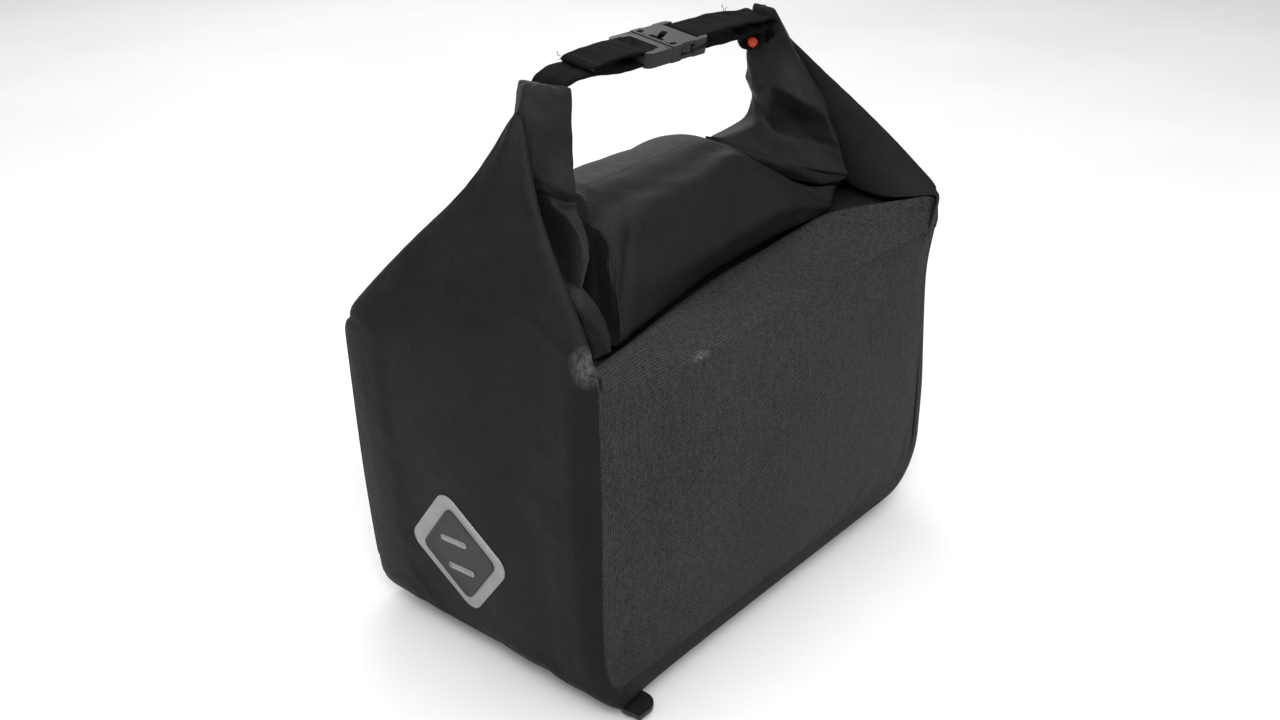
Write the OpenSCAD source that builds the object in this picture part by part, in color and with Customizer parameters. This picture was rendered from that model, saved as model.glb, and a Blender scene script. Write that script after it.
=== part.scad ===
// Roll-top rack bag with a quick-release coupling under its floor.
// Millimetres. Origin: centre of the coupling plate's underside.
// +X along the bag, -Y the textured front panel, +Z up.

/* [Bag body] */
// Length of the bag along the rack
bag_l = 350; // [330:2:370]
// Depth from front panel to back panel
bag_d = 200; // [190:2:210]
// Height of the box-shaped part
body_h = 202; // [190:2:214]
// Bottom corner radius at the left end
corner_l = 14; // [10:1:18]
// Bottom corner radius at the right end
corner_r = 48; // [40:1:52]
// Thickness of the coated fabric with its backing
wall = 2; // [1.6:0.2:2.4]

/* [Roll top] */
// Height of the shoulder that the roll lies on, above the body
shoulder_h = 4; // [3:1:8]
// Half width of the roll at its middle
roll_w = 58; // [50:1:60]
// Half thickness of the roll at its middle
roll_t = 30; // [26:1:32]
// Height of the ears above the body
ear_h = 117; // [100:1:120]

/* [Handle and buckle] */
// Webbing width
web_w = 25; // [20:1:25]
// Webbing thickness
web_t = 1.6; // [1.2:0.1:1.8]
// Height of the strap's centre above the coupling plate's underside
strap_z = 342; // [338:1:346]
// Sideways lean of the strap
strap_tilt = 8; // [0:1:10]

/* [Coupling] */
// Length of the coupling plate
plate_l = 260; // [250:2:264]
// Width of the coupling plate
plate_w = 140; // [136:2:150]
// Thickness of the coupling plate
plate_t = 4; // [4:0.5:4]
// Inner spacing of the two runner rails
rail_gap = 92; // [80:1:96]
// Height of the raised pad that lies on the rack
pad_h = 0.6; // [0.4:0.1:1]
// Depth of the runner rails below the plate
rail_h = 10; // [9:0.5:12]
// Radius of the lever's pivot pin
pin_r = 3; // [2.5:0.1:3.2]

/* [Hidden] */
body_z = plate_t;                 // underside of the fabric
rim_z = body_z + body_h;          // where the box ends and the sleeve starts
deck_z = rim_z + shoulder_h;      // top of the shoulder
board_t = 3;
screw_x = [-100, 0, 100];
screw_y = 38;
rivet_x = [-84, 10, 104];
pivot = [-148, -46];
fab = [0.19, 0.185, 0.187];
fab_tex = [0.23, 0.22, 0.223];
black = [0.06, 0.06, 0.06];
grey = [0.3, 0.29, 0.3];
light = [0.68, 0.68, 0.67];

// ---------- helpers ----------
// Box outline in length and height, with its own radius at each bottom corner
module box_outline(l, h, rl, rr) {
    translate([-l / 2, rl]) square([l / 2, h - rl]);
    translate([0, rr]) square([l / 2, h - rr]);
    translate([-l / 2 + rl, 0]) square([l - rl - rr, max(rl, rr) + 1]);
    translate([-l / 2 + rl, rl]) circle(r = rl, $fn = 64);
    translate([l / 2 - rr, rr]) circle(r = rr, $fn = 96);
}
// Rounded rectangle centred on the origin
module round_rect(l, w, r) {
    square([l - 2 * r, w], center = true);
    square([l, w - 2 * r], center = true);
    for (sx = [-1, 1], sy = [-1, 1]) translate([sx * (l / 2 - r), sy * (w / 2 - r)]) circle(r = r, $fn = 48);
}
// Extrudes a length-height profile across the bag between two depths
module across(y0, y1) { translate([0, y1, 0]) rotate([90, 0, 0]) linear_extrude(y1 - y0) children(); }
// Extrudes a depth-height profile along the bag between two lengths
module along(x0, x1) { translate([x0, 0, 0]) rotate([90, 0, 90]) linear_extrude(x1 - x0) children(); }
// Outline of a flat strip of thickness t that follows a path
function unit(v) = v / norm(v);
function path_n(p, i) = let (a = p[max(i - 1, 0)], b = p[min(i + 1, len(p) - 1)], d = unit(b - a)) [-d[1], d[0]];
function strip(p, t) = concat([for (i = [0:len(p) - 1]) p[i] + path_n(p, i) * t / 2],
                              [for (i = [len(p) - 1:-1:0]) p[i] - path_n(p, i) * t / 2]);
// One flattened ring of the roll: centre, lean of its thin axis, half width and half thickness
function ring(s, dw, dt, n = 24, q = 2.6) =
    [for (i = [0:n - 1]) let (a = -360 * i / n, c = cos(a), k = sin(a),
        u = (s[3] - dw) * sign(c) * pow(abs(c), 2 / q), v = (s[4] - dt) * sign(k) * pow(abs(k), 2 / q))
        [s[0] + v * cos(s[2]), u, s[1] + v * sin(s[2])]];
// Closed solid through a row of rings
module loft(rings) {
    m = len(rings); n = len(rings[0]);
    pts = [for (r = rings) for (p = r) p];
    side = [for (j = [0:m - 2]) for (i = [0:n - 1]) let (a = j * n + i, b = j * n + (i + 1) % n) each [[a, b, b + n], [a, b + n, a + n]]];
    cap0 = [for (i = [1:n - 2]) [0, i + 1, i]];
    cap1 = [for (i = [1:n - 2]) [(m - 1) * n, (m - 1) * n + i, (m - 1) * n + i + 1]];
    polyhedron(points = pts, faces = concat(side, cap0, cap1), convexity = 6);
}
// Height of the roll's centre line
roll_z = deck_z + roll_t + 0.3;
// Stations of the roll: x, z, lean, half width, half thickness
roll_path = [
    [-107, 337, 0, 21, 5], [-107, 312, 0, 24, 8], [-108, 288, 4, 31, 12],
    [-112, 268, 20, 40, 17], [-108, 252, 45, 50, 22], [-92, roll_z + 3, 68, 55, 26], [-62, roll_z, 84, 57, roll_t - 1],
    [-30, roll_z, 90, roll_w, roll_t], [0, roll_z, 90, roll_w, roll_t], [30, roll_z, 90, roll_w, roll_t],
    [62, roll_z, 96, 57, roll_t - 1], [88, roll_z + 3, 112, 55, 26], [106, 252, 135, 50, 22],
    [110, 268, 158, 40, 17], [104, 290, 172, 33, 12], [99, 314, 178, 24, 8], [103, 340, 180, 21, 5]];
// Everything on the strap leans with it
module on_strap() { translate([0, 0, strap_z]) rotate([strap_tilt, 0, 0]) children(); }

// ---------- fabric body ----------
module front_panel() {
    color(fab_tex) translate([0, 0, body_z]) across(-bag_d / 2, -bag_d / 2 + wall) box_outline(bag_l, body_h, corner_l, corner_r);
}
module back_panel() {
    color(fab_tex) translate([0, 0, body_z]) across(bag_d / 2 - wall, bag_d / 2) box_outline(bag_l, body_h, corner_l, corner_r);
}
module side_gusset() {
    color(fab) difference() {
        translate([0, 0, body_z]) across(-bag_d / 2 + wall, bag_d / 2 - wall) difference() {
            box_outline(bag_l, body_h, corner_l, corner_r);
            translate([0, wall]) box_outline(bag_l - 2 * wall, body_h + 10, corner_l - wall, corner_r - wall);
        }
        for (x = screw_x, s = [-1, 1]) translate([x, s * screw_y, body_z - 1]) cylinder(r = 2.7, h = wall + 2, $fn = 32);
    }
}
module stiffener(y) {
    translate([0, 0, body_z + 3]) across(y, y + 1.5) box_outline(bag_l - 2 * wall - 6, body_h - 8, corner_l - 3, corner_r - 3);
}
module front_stiffener() { color("dimgray") stiffener(-bag_d / 2 + wall); }
module back_stiffener() { color("dimgray") stiffener(bag_d / 2 - wall - 1.5); }
module floor_board() {
    color("dimgray") difference() {
        translate([-16, 0, body_z + wall]) linear_extrude(board_t) round_rect(284, bag_d - 2 * wall - 16, 8);
        for (x = screw_x, s = [-1, 1]) translate([x, s * screw_y, body_z]) cylinder(r = 2.7, h = 20, $fn = 32);
    }
}

// ---------- sleeve, ears and roll ----------
module ear_solid(inset, drop) {
    hull() {
        translate([-bag_l / 2 + inset, -bag_d / 2 + inset, rim_z - (inset > 0 ? 0.5 : 0)]) cube([42 - 2 * inset, bag_d - 2 * inset, 0.5]);
        translate([-134 + inset / 2, -1.5 + inset / 2, rim_z + ear_h - 1 - drop]) cube([3 - inset, 3 - inset, 1]);
    }
}
module ear_left() { color(fab) difference() { ear_solid(0, 0); ear_solid(wall, 8); } }
module ear_right() { color(fab) mirror([1, 0, 0]) difference() { ear_solid(0, 0); ear_solid(wall, 8); } }
module shoulder_solid(inset) {
    hull() {
        translate([-133 + inset, -bag_d / 2 + inset, rim_z - (inset > 0 ? 0.5 : 0)]) cube([266 - 2 * inset, bag_d - 2 * inset, 0.5]);
        translate([-118 + inset, -58 + inset, deck_z - 0.5 - inset]) cube([236 - 2 * inset, 116 - 2 * inset, 0.5]);
    }
}
module sleeve_shell() { color(fab) difference() { shoulder_solid(0); shoulder_solid(wall); } }
module roll_top() {
    n = len(roll_path);
    color(fab) difference() {
        loft([for (s = roll_path) ring(s, 0, 0)]);
        loft([for (j = [1:n - 2]) ring(roll_path[j], 4, 4)]);
    }
}
// Flat strip sewn into the mouth hem, inside the roll
module mouth_stiffener() {
    color("black") across(-11, 11) polygon(strip([[-107, 306], [-108, 288], [-109, 270], [-103, 253], [-88, 244], [-60, roll_z], [60, roll_z], [86, 244], [102, 253], [107, 270], [103, 290], [99.5, 308]], 1.6));
}
module hem_rod() {
    color("orangered") translate([81.5, 12, 322]) rotate([0, 90, 0]) cylinder(r = 2.6, h = 10.6, $fn = 32);
}
module hem_sleeve() {
    color(black) translate([83, 12, 322]) rotate([0, 90, 0]) difference() {
        cylinder(r = 4, h = 9, $fn = 40);
        translate([0, 0, -1]) cylinder(r = 2.65, h = 12, $fn = 32);
    }
}

// ---------- webbing ----------
module webbing_left() {
    color(black) translate([0, 0, strap_z]) across(-web_w / 2, web_w / 2)
        polygon(strip([[-107, -5], [-107, -3.4], [-105.4, -1.6], [-102, -0.6], [-96, -1], [-91, -2.2]], web_t));
}
module webbing_loop() {
    color(black) on_strap() {
        across(-web_w / 2, web_w / 2)
            polygon(strip([[-72, -3.7], [-38, -3.7], [-36.6, -3.1], [-36, -1.8], [-36, 1.8], [-36.6, 3.1], [-38, 3.7], [-78, 3.7]], web_t));
        translate([-82, -web_w / 2, 2.6]) cube([6, web_w, 4]);
    }
}
module webbing_right() {
    color(black) on_strap() across(-web_w / 2, web_w / 2)
        polygon(strip([[78, -3.7], [10.6, -3.7], [9.2, -3.1], [8.6, -1.8], [8.6, 1.8], [9.2, 3.1], [10.6, 3.7], [84, 3.7], [95, 3.4], [100.4, 2.2], [102.4, 0.4]], web_t));
}

// ---------- side-release buckle ----------
module buckle_female() {
    color(grey) on_strap() difference() {
        translate([0, 0, -5]) linear_extrude(10) {
            translate([-20, -16.5]) square([30, 33]);
            translate([5, -11.5]) square([10, 23]);
            for (s = [-1, 1]) translate([10, s * 11.5]) circle(r = 5, $fn = 48);
        }
        translate([-21, -12.5, -2.8]) cube([24, 25, 5.6]);
        for (s = [-1, 1]) translate([-12, s > 0 ? 12 : -17, -2.8]) cube([13, 5, 5.6]);
        translate([5.5, -13, -6]) cube([5.5, 26, 12]);
        for (z = [2, -7]) translate([10, -13, z]) cube([6, 26, 5]);
        translate([-17, -5, 2]) cube([3, 10, 4]);
    }
}
module buckle_male() {
    color(grey) on_strap() {
        difference() {
            translate([0, 0, -4.5]) linear_extrude(9) {
                translate([-37, -16.5]) square([16.7, 33]);
                translate([-42, -11.5]) square([10, 23]);
                for (s = [-1, 1]) translate([-37, s * 11.5]) circle(r = 5, $fn = 48);
            }
            translate([-38, -13, -6]) cube([5.5, 26, 12]);
            for (z = [2, -7]) translate([-43, -13, z]) cube([6, 26, 5]);
            for (s = [-1, 1]) {
                translate([-22.5, s * 8, -2.6]) cylinder(r = 2, h = 5.2, $fn = 40);
                translate([-22.5, s * 8 - 2.4, -2.6]) cube([4, 4.8, 5.2]);
            }
        }
        translate([-21, -2.2, -2.2]) cube([21, 4.4, 4.4]);
    }
}
module prong(s) {
    on_strap() mirror([0, s < 0 ? 1 : 0, 0]) {
        translate([-22.5, 8, -2.3]) cylinder(r = 1.9, h = 4.6, $fn = 40);
        translate([0, 0, -2.2]) linear_extrude(4.4) polygon([[-22.5, 6.6], [-22.5, 9.4], [-12, 10.2], [-10.5, 12.3], [-8, 13.1], [-5, 14.3], [-3, 15.2], [-1.8, 15.4], [0.2, 12], [-0.8, 9], [-4, 7.8], [-12, 6.8]]);
    }
}
module prong_front() { color(grey) prong(-1); }
module prong_back() { color(grey) prong(1); }

// ---------- rear light patch ----------
module reflective_patch() {
    color(light) along(-bag_l / 2 - 0.4, -bag_l / 2) translate([15.2, 66.1]) rotate(37.5) round_rect(63, 60, 10);
}
module light_clip_tab() {
    color(grey) along(-bag_l / 2 - 2.6, -bag_l / 2 - 0.4) difference() {
        translate([14, 65.9]) rotate(37) round_rect(45.5, 46, 5);
        for (c = [[17.1, 74.1], [13.1, 55.1]]) translate(c) rotate(-6) {
            square([19.6, 3.4], center = true);
            for (s = [-1, 1]) translate([s * 9.8, 0]) circle(r = 1.7, $fn = 24);
        }
    }
}

// ---------- coupling under the floor ----------
module coupling_plate() {
    color(black) difference() {
        union() {
            translate([0, 0, pad_h]) linear_extrude(plate_t - pad_h) {
                round_rect(plate_l, plate_w, 12);
                translate(pivot) circle(r = 12, $fn = 64);
                translate([pivot[0], pivot[1] - 12]) square([30, 24]);
            }
            translate([10, 0, 0]) linear_extrude(1) round_rect(224, rail_gap - 4, 4);
        }
        for (x = screw_x, s = [-1, 1]) translate([x, s * screw_y, 0]) {
            translate([0, 0, -1]) cylinder(r = 2.7, h = plate_t + 2, $fn = 32);
            translate([0, 0, -0.01]) cylinder(r1 = 5.1, r2 = 2.7, h = 2.41, $fn = 48);
        }
        for (x = rivet_x, s = [-1, 1]) translate([x, s * (rail_gap / 2 + 15), -1]) cylinder(r = 2, h = plate_t + 2, $fn = 32);
        translate([pivot[0], pivot[1], -1]) cylinder(r = pin_r, h = plate_t + 2, $fn = 48);
    }
}
// Z-shaped rail: a flange under the plate, a web, and a lip that the rack's slide runs on
module rail(s, x0, x1) {
    g = rail_gap / 2;
    mirror([0, s < 0 ? 1 : 0, 0]) difference() {
        along(x0, x1) {
            translate([g + 6, -rail_h]) square([4, rail_h + pad_h]);
            translate([g, -rail_h]) square([10, 2.5]);
            translate([g + 6, -2]) square([14, 2 + pad_h]);
        }
        for (x = rivet_x) translate([x, g + 15, -4]) cylinder(r = 2, h = 6, $fn = 32);
    }
}
module runner_rail_front() { color("silver") rail(-1, -104, 124); }
module runner_rail_back() { color("silver") rail(1, -124, 124); }
module rail_rivets() {
    color("silver") for (x = rivet_x, s = [-1, 1]) translate([x, s * (rail_gap / 2 + 15), 0]) {
        translate([0, 0, -2]) cylinder(r = 2, h = plate_t + 2, $fn = 32);
        translate([0, 0, -3.2]) cylinder(r = 3.6, h = 1.2, $fn = 40);
    }
}
module release_lever() {
    color(black) difference() {
        translate([0, 0, -5.6]) linear_extrude(3) {
            translate(pivot) circle(r = 9, $fn = 64);
            translate([-161, -110]) square([9, 12]);
            translate([-152, -100]) circle(r = 10, $fn = 64);
            polygon([[-161, -100], [-142, -100], [-142, -62], [-139.4, -46], [-156.6, -46], [-161, -58]]);
            polygon([[-148, -53], [-114, -50], [-110, -44], [-112, -34], [-118, -34], [-122, -41], [-148, -39]]);
        }
        translate([pivot[0], pivot[1], -7]) cylinder(r = pin_r + 0.05, h = 6, $fn = 48);
    }
}
module lever_pivot_pin() {
    color("silver") translate([pivot[0], pivot[1], 0]) {
        translate([0, 0, -6]) cylinder(r = pin_r, h = 6 + plate_t, $fn = 48);
        translate([0, 0, -7.4]) cylinder(r = 5, h = 1.4, $fn = 48);
    }
}
// Torsion spring round the pivot pin: two turns with a straight leg at each end
coil_r = 5.2;
wire_r = 0.4;
coil_pts = concat([[22, coil_r, -1.9]],
                  [for (i = [0:36]) let (a = 90 + 20 * i) [coil_r * cos(a), coil_r * sin(a), -1.9 + 1.3 * i / 36]],
                  [[-16, coil_r, -0.6]]);
function tangent(p, i) = unit(p[min(i + 1, len(p) - 1)] - p[max(i - 1, 0)]);
module wire(p, r, k = 8) {
    rings = [for (i = [0:len(p) - 1]) let (t = tangent(p, i), u = unit(cross(t, [0, 0, 1])), v = cross(u, t))
        [for (j = [0:k - 1]) p[i] + r * (cos(360 * j / k) * u + sin(360 * j / k) * v)]];
    loft(rings);
}
module lever_spring() { color("silver") translate([pivot[0], pivot[1], 0]) wire(coil_pts, wire_r); }
module plate_screws() {
    color("silver") for (x = screw_x, s = [-1, 1]) translate([x, s * screw_y, 0]) {
        translate([0, 0, 0.1]) cylinder(r1 = 4.9, r2 = 2.5, h = 2.3, $fn = 48);
        translate([0, 0, 2.4]) cylinder(r = 2.5, h = 12.4, $fn = 32);
    }
}
module plate_washers() {
    color("silver") for (x = screw_x, s = [-1, 1]) translate([x, s * screw_y, body_z + wall + board_t]) difference() {
        cylinder(r = 7.5, h = 1.2, $fn = 48);
        translate([0, 0, -1]) cylinder(r = 2.7, h = 4, $fn = 32);
    }
}
module plate_nuts() {
    color("silver") for (x = screw_x, s = [-1, 1]) translate([x, s * screw_y, body_z + wall + board_t + 1.2]) difference() {
        cylinder(r = 4.6, h = 4, $fn = 6);
        translate([0, 0, -1]) cylinder(r = 2.53, h = 6, $fn = 32);
    }
}

front_panel();
back_panel();
side_gusset();
front_stiffener();
back_stiffener();
floor_board();
sleeve_shell();
ear_left();
ear_right();
roll_top();
mouth_stiffener();
hem_rod();
hem_sleeve();
webbing_left();
webbing_loop();
webbing_right();
buckle_male();
prong_front();
prong_back();
buckle_female();
reflective_patch();
light_clip_tab();
coupling_plate();
runner_rail_front();
runner_rail_back();
rail_rivets();
release_lever();
lever_pivot_pin();
lever_spring();
plate_screws();
plate_washers();
plate_nuts();
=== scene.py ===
import math
import bpy
import bmesh
import numpy as np
from mathutils import Matrix, Vector, Quaternion
from mathutils.bvhtree import BVHTree


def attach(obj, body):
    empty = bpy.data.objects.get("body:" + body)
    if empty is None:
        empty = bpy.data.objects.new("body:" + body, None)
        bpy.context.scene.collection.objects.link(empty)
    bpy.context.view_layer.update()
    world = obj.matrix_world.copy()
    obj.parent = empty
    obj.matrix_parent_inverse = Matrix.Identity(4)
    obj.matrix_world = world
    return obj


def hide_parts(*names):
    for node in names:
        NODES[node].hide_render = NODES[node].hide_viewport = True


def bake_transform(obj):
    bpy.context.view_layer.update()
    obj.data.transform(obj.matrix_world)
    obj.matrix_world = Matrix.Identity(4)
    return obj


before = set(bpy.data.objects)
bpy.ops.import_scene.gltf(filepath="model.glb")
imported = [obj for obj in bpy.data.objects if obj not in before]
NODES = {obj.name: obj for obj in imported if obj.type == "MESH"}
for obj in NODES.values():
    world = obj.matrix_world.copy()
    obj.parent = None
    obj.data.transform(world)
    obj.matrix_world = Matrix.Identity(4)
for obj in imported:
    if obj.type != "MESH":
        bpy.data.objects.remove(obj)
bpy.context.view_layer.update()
SC = bpy.context.scene
SC.view_settings.view_transform = "Standard"
SC.view_settings.look = "None"
MM = 0.001
OFF = np.array([-175.0, -100.0, 4.0])      # design corner frame (front left bottom of the bag) to row frame


# ------------------------------------------------------------------ camera
def look(location, yaw, pitch):
    d = Vector((math.sin(yaw) * math.cos(pitch), math.cos(yaw) * math.cos(pitch), -math.sin(pitch)))
    cam = bpy.data.cameras.new("camera")
    cam.sensor_width = 36
    cam.lens = 1400 / 1280 * 36
    ob = bpy.data.objects.new("camera", cam)
    SC.collection.objects.link(ob)
    ob.location = location
    ob.rotation_mode = "QUATERNION"
    ob.rotation_quaternion = d.to_track_quat("-Z", "Y")
    cam.clip_start, cam.clip_end = 0.02, 20
    SC.camera = ob


look((-0.64575, -0.51685, 0.53915), math.radians(50.006), math.radians(26.265))


# ------------------------------------------------------------------ curve and mesh helpers
def spline(keys, t):
    """Smooth (monotone cubic) value through keys [(t, v...)] at t, vectorised over t."""
    k = np.array(keys, float)
    x, y = k[:, 0], k[:, 1:]
    h = np.diff(x)[:, None]
    s = np.diff(y, axis=0) / h
    m = np.zeros_like(y)
    m[0], m[-1] = s[0], s[-1]
    if len(x) > 2:
        a, b = s[:-1], s[1:]
        same = a * b > 0
        w1, w2 = 2 * h[1:] + h[:-1], h[1:] + 2 * h[:-1]
        with np.errstate(divide="ignore", invalid="ignore"):
            hm = (w1 + w2) / (w1 / a + w2 / b)
        m[1:-1] = np.where(same, np.nan_to_num(hm), 0)
    t = np.atleast_1d(np.asarray(t, float))
    i = np.clip(np.searchsorted(x, t, side="right") - 1, 0, len(x) - 2)
    u = ((t - x[i]) / (x[i + 1] - x[i]))[:, None]
    u = np.clip(u, 0, 1)
    hh = h[i]
    r = (y[i] * (2 * u**3 - 3 * u**2 + 1) + m[i] * hh * (u**3 - 2 * u**2 + u)
         + y[i + 1] * (-2 * u**3 + 3 * u**2) + m[i + 1] * hh * (u**3 - u**2))
    return r[:, 0] if r.shape[1] == 1 else r


def curve(points, n, closed=False):
    """n points evenly spaced along a Catmull-Rom curve through points."""
    p = np.array(points, float)
    q = np.vstack([2 * p[0] - p[1], p, 2 * p[-1] - p[-2]])
    out = []
    for i in range(1, len(q) - 2):
        for u in np.linspace(0, 1, 24, endpoint=False):
            a, b, c, d = q[i - 1], q[i], q[i + 1], q[i + 2]
            out.append(0.5 * (2 * b + (c - a) * u + (2 * a - 5 * b + 4 * c - d) * u * u + (3 * b - a - 3 * c + d) * u**3))
    out.append(p[-1])
    out = np.array(out)
    s = np.concatenate([[0], np.cumsum(np.linalg.norm(np.diff(out, axis=0), axis=1))])
    w = np.linspace(0, s[-1], n)
    return np.stack([np.interp(w, s, out[:, k]) for k in range(out.shape[1])], 1)


def smoothstep(a, b, x):
    u = np.clip((x - a) / (b - a), 0, 1)
    return u * u * (3 - 2 * u)


def bump(x, c, w):
    return np.exp(-((x - c) / w) ** 2)


def wavy(x, y, seed, scale):
    """Soft repeatable noise, about -1 to 1."""
    rng = np.random.default_rng(seed)
    r = np.zeros(np.broadcast(x, y).shape)
    for k in range(7):
        a = rng.uniform(0, 2 * math.pi)
        f = rng.uniform(0.6, 1.8) / scale
        r += np.sin((x * math.cos(a) + y * math.sin(a)) * f * 2 * math.pi + rng.uniform(0, 6.28))
    return r / 4


def new_object(name, verts, faces, uvs=None, smooth=True):
    me = bpy.data.meshes.new(name)
    me.from_pydata([tuple(v) for v in verts], [], faces)
    if uvs is not None:
        layer = me.uv_layers.new(name="UVMap")
        co = np.array([uvs[l.vertex_index] for l in me.loops], np.float32)
        layer.data.foreach_set("uv", co.ravel())
    me.validate()
    me.update()
    if smooth:
        me.polygons.foreach_set("use_smooth", [True] * len(me.polygons))
    ob = bpy.data.objects.new(name, me)
    SC.collection.objects.link(ob)
    return ob


def grid(name, P, uv=None, closed_u=False, flip=False, caps=False):
    """Quad sheet from P[rows, cols, 3] in millimetres of the row frame. uv defaults to arc lengths in metres."""
    P = np.asarray(P, float)
    nv, nu = P.shape[:2]
    if uv is None:
        U = np.hstack([np.zeros((nv, 1)), np.cumsum(np.linalg.norm(np.diff(P, axis=1), axis=2), 1)])
        V = np.vstack([np.zeros((1, nu)), np.cumsum(np.linalg.norm(np.diff(P, axis=0), axis=2), 0)])
        uv = np.stack([U, V], -1)
    verts = (P.reshape(-1, 3)) * MM
    uvs = (np.asarray(uv, float).reshape(-1, 2)) * MM
    faces = []
    m = nu if closed_u else nu - 1
    for j in range(nv - 1):
        for i in range(m):
            a, b = j * nu + i, j * nu + (i + 1) % nu
            f = (a, b, b + nu, a + nu)
            faces.append(f[::-1] if flip else f)
    if caps:
        faces.append(tuple(range(nu))[::-1] if not flip else tuple(range(nu)))
        top = tuple((nv - 1) * nu + i for i in range(nu))
        faces.append(top if not flip else top[::-1])
    return new_object(name, verts, faces, uvs)


def modifier(ob, kind, **values):
    m = ob.modifiers.new(kind.lower(), kind)
    for k, v in values.items():
        setattr(m, k, v)
    return m


def apply_all(ob):
    dg = bpy.context.evaluated_depsgraph_get()
    me = bpy.data.meshes.new_from_object(ob.evaluated_get(dg), preserve_all_data_layers=True, depsgraph=dg)
    ob.modifiers.clear()
    ob.data = me
    return ob


def dress(ob, material, body="bag", replaces=(), thick=None, sub=0, offset=-1):
    if thick:
        modifier(ob, "SOLIDIFY", thickness=thick * MM, offset=offset)
    if sub:
        modifier(ob, "SUBSURF", levels=sub, render_levels=sub)
    if material:
        ob.data.materials.clear()
        ob.data.materials.append(material)
    if body:
        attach(ob, body)
    if replaces:
        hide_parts(*replaces)
    return ob


def settle(ob, pin, frames=16, pressure=3.0, grow=0.006, cap=1.6, stiff=12.0, bend=1.0):
    """Short cloth run with the seams held: the sheet is a touch larger than its frame and lightly pushed from inside, so it finds
    its own slack. Every move is eased off towards `cap` millimetres."""
    n = len(ob.data.vertices)
    old = np.empty(n * 3, np.float32)
    ob.data.vertices.foreach_get("co", old)
    old = old.reshape(-1, 3)
    held = ob.vertex_groups.new(name="seams")
    pin = np.clip(np.ravel(pin), 0, 1)
    for w in np.unique(np.round(pin, 2)):
        if w > 0:
            held.add([int(i) for i in np.nonzero(np.round(pin, 2) == w)[0]], float(w), "REPLACE")
    m = modifier(ob, "CLOTH")
    c = m.settings
    c.quality, c.mass = 6, 0.25
    c.tension_stiffness = c.compression_stiffness = stiff
    c.shear_stiffness, c.bending_stiffness = stiff * 0.5, bend
    c.vertex_group_mass = "seams"
    c.use_pressure, c.uniform_pressure_force = True, pressure
    c.shrink_min = -grow
    c.effector_weights.gravity = 0
    m.collision_settings.use_collision = False
    m.point_cache.frame_start, m.point_cache.frame_end = 1, frames
    for f in range(1, frames + 1):
        SC.frame_set(f)
    dg = bpy.context.evaluated_depsgraph_get()
    me = ob.evaluated_get(dg).to_mesh()
    new = np.empty(n * 3, np.float32)
    me.vertices.foreach_get("co", new)
    new = new.reshape(-1, 3)
    ob.evaluated_get(dg).to_mesh_clear()
    ob.modifiers.remove(m)
    ob.vertex_groups.remove(held)
    SC.frame_set(1)
    d = (new - old) / MM
    L = np.linalg.norm(d, axis=1, keepdims=True)
    d = d * cap * np.tanh(L / cap) / np.maximum(L, 1e-6)
    d = np.nan_to_num(d)
    print("settled", ob.name, "mean", round(float(L.mean()), 2), "max", round(float(L.max()), 2), "mm")
    ob.data.vertices.foreach_set("co", (old + d * MM).astype(np.float32).ravel())
    ob.data.update()
    return ob


def pins(nv, nu, first=2, last=2, left=2, right=2, soft=5):
    """Weights on a grid: 1 on the outer rows and columns, fading over `soft` more; 0 rows or columns leaves that side free."""
    w = np.zeros((nv, nu))
    j, i = np.arange(nv)[:, None] * np.ones((1, nu)), np.ones((nv, 1)) * np.arange(nu)[None, :]
    for k, d in ((first, j), (last, nv - 1 - j), (left, i), (right, nu - 1 - i)):
        if k:
            w = np.maximum(w, np.clip(1 - (d - (k - 1)) / soft, 0, 1))
    return w


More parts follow.
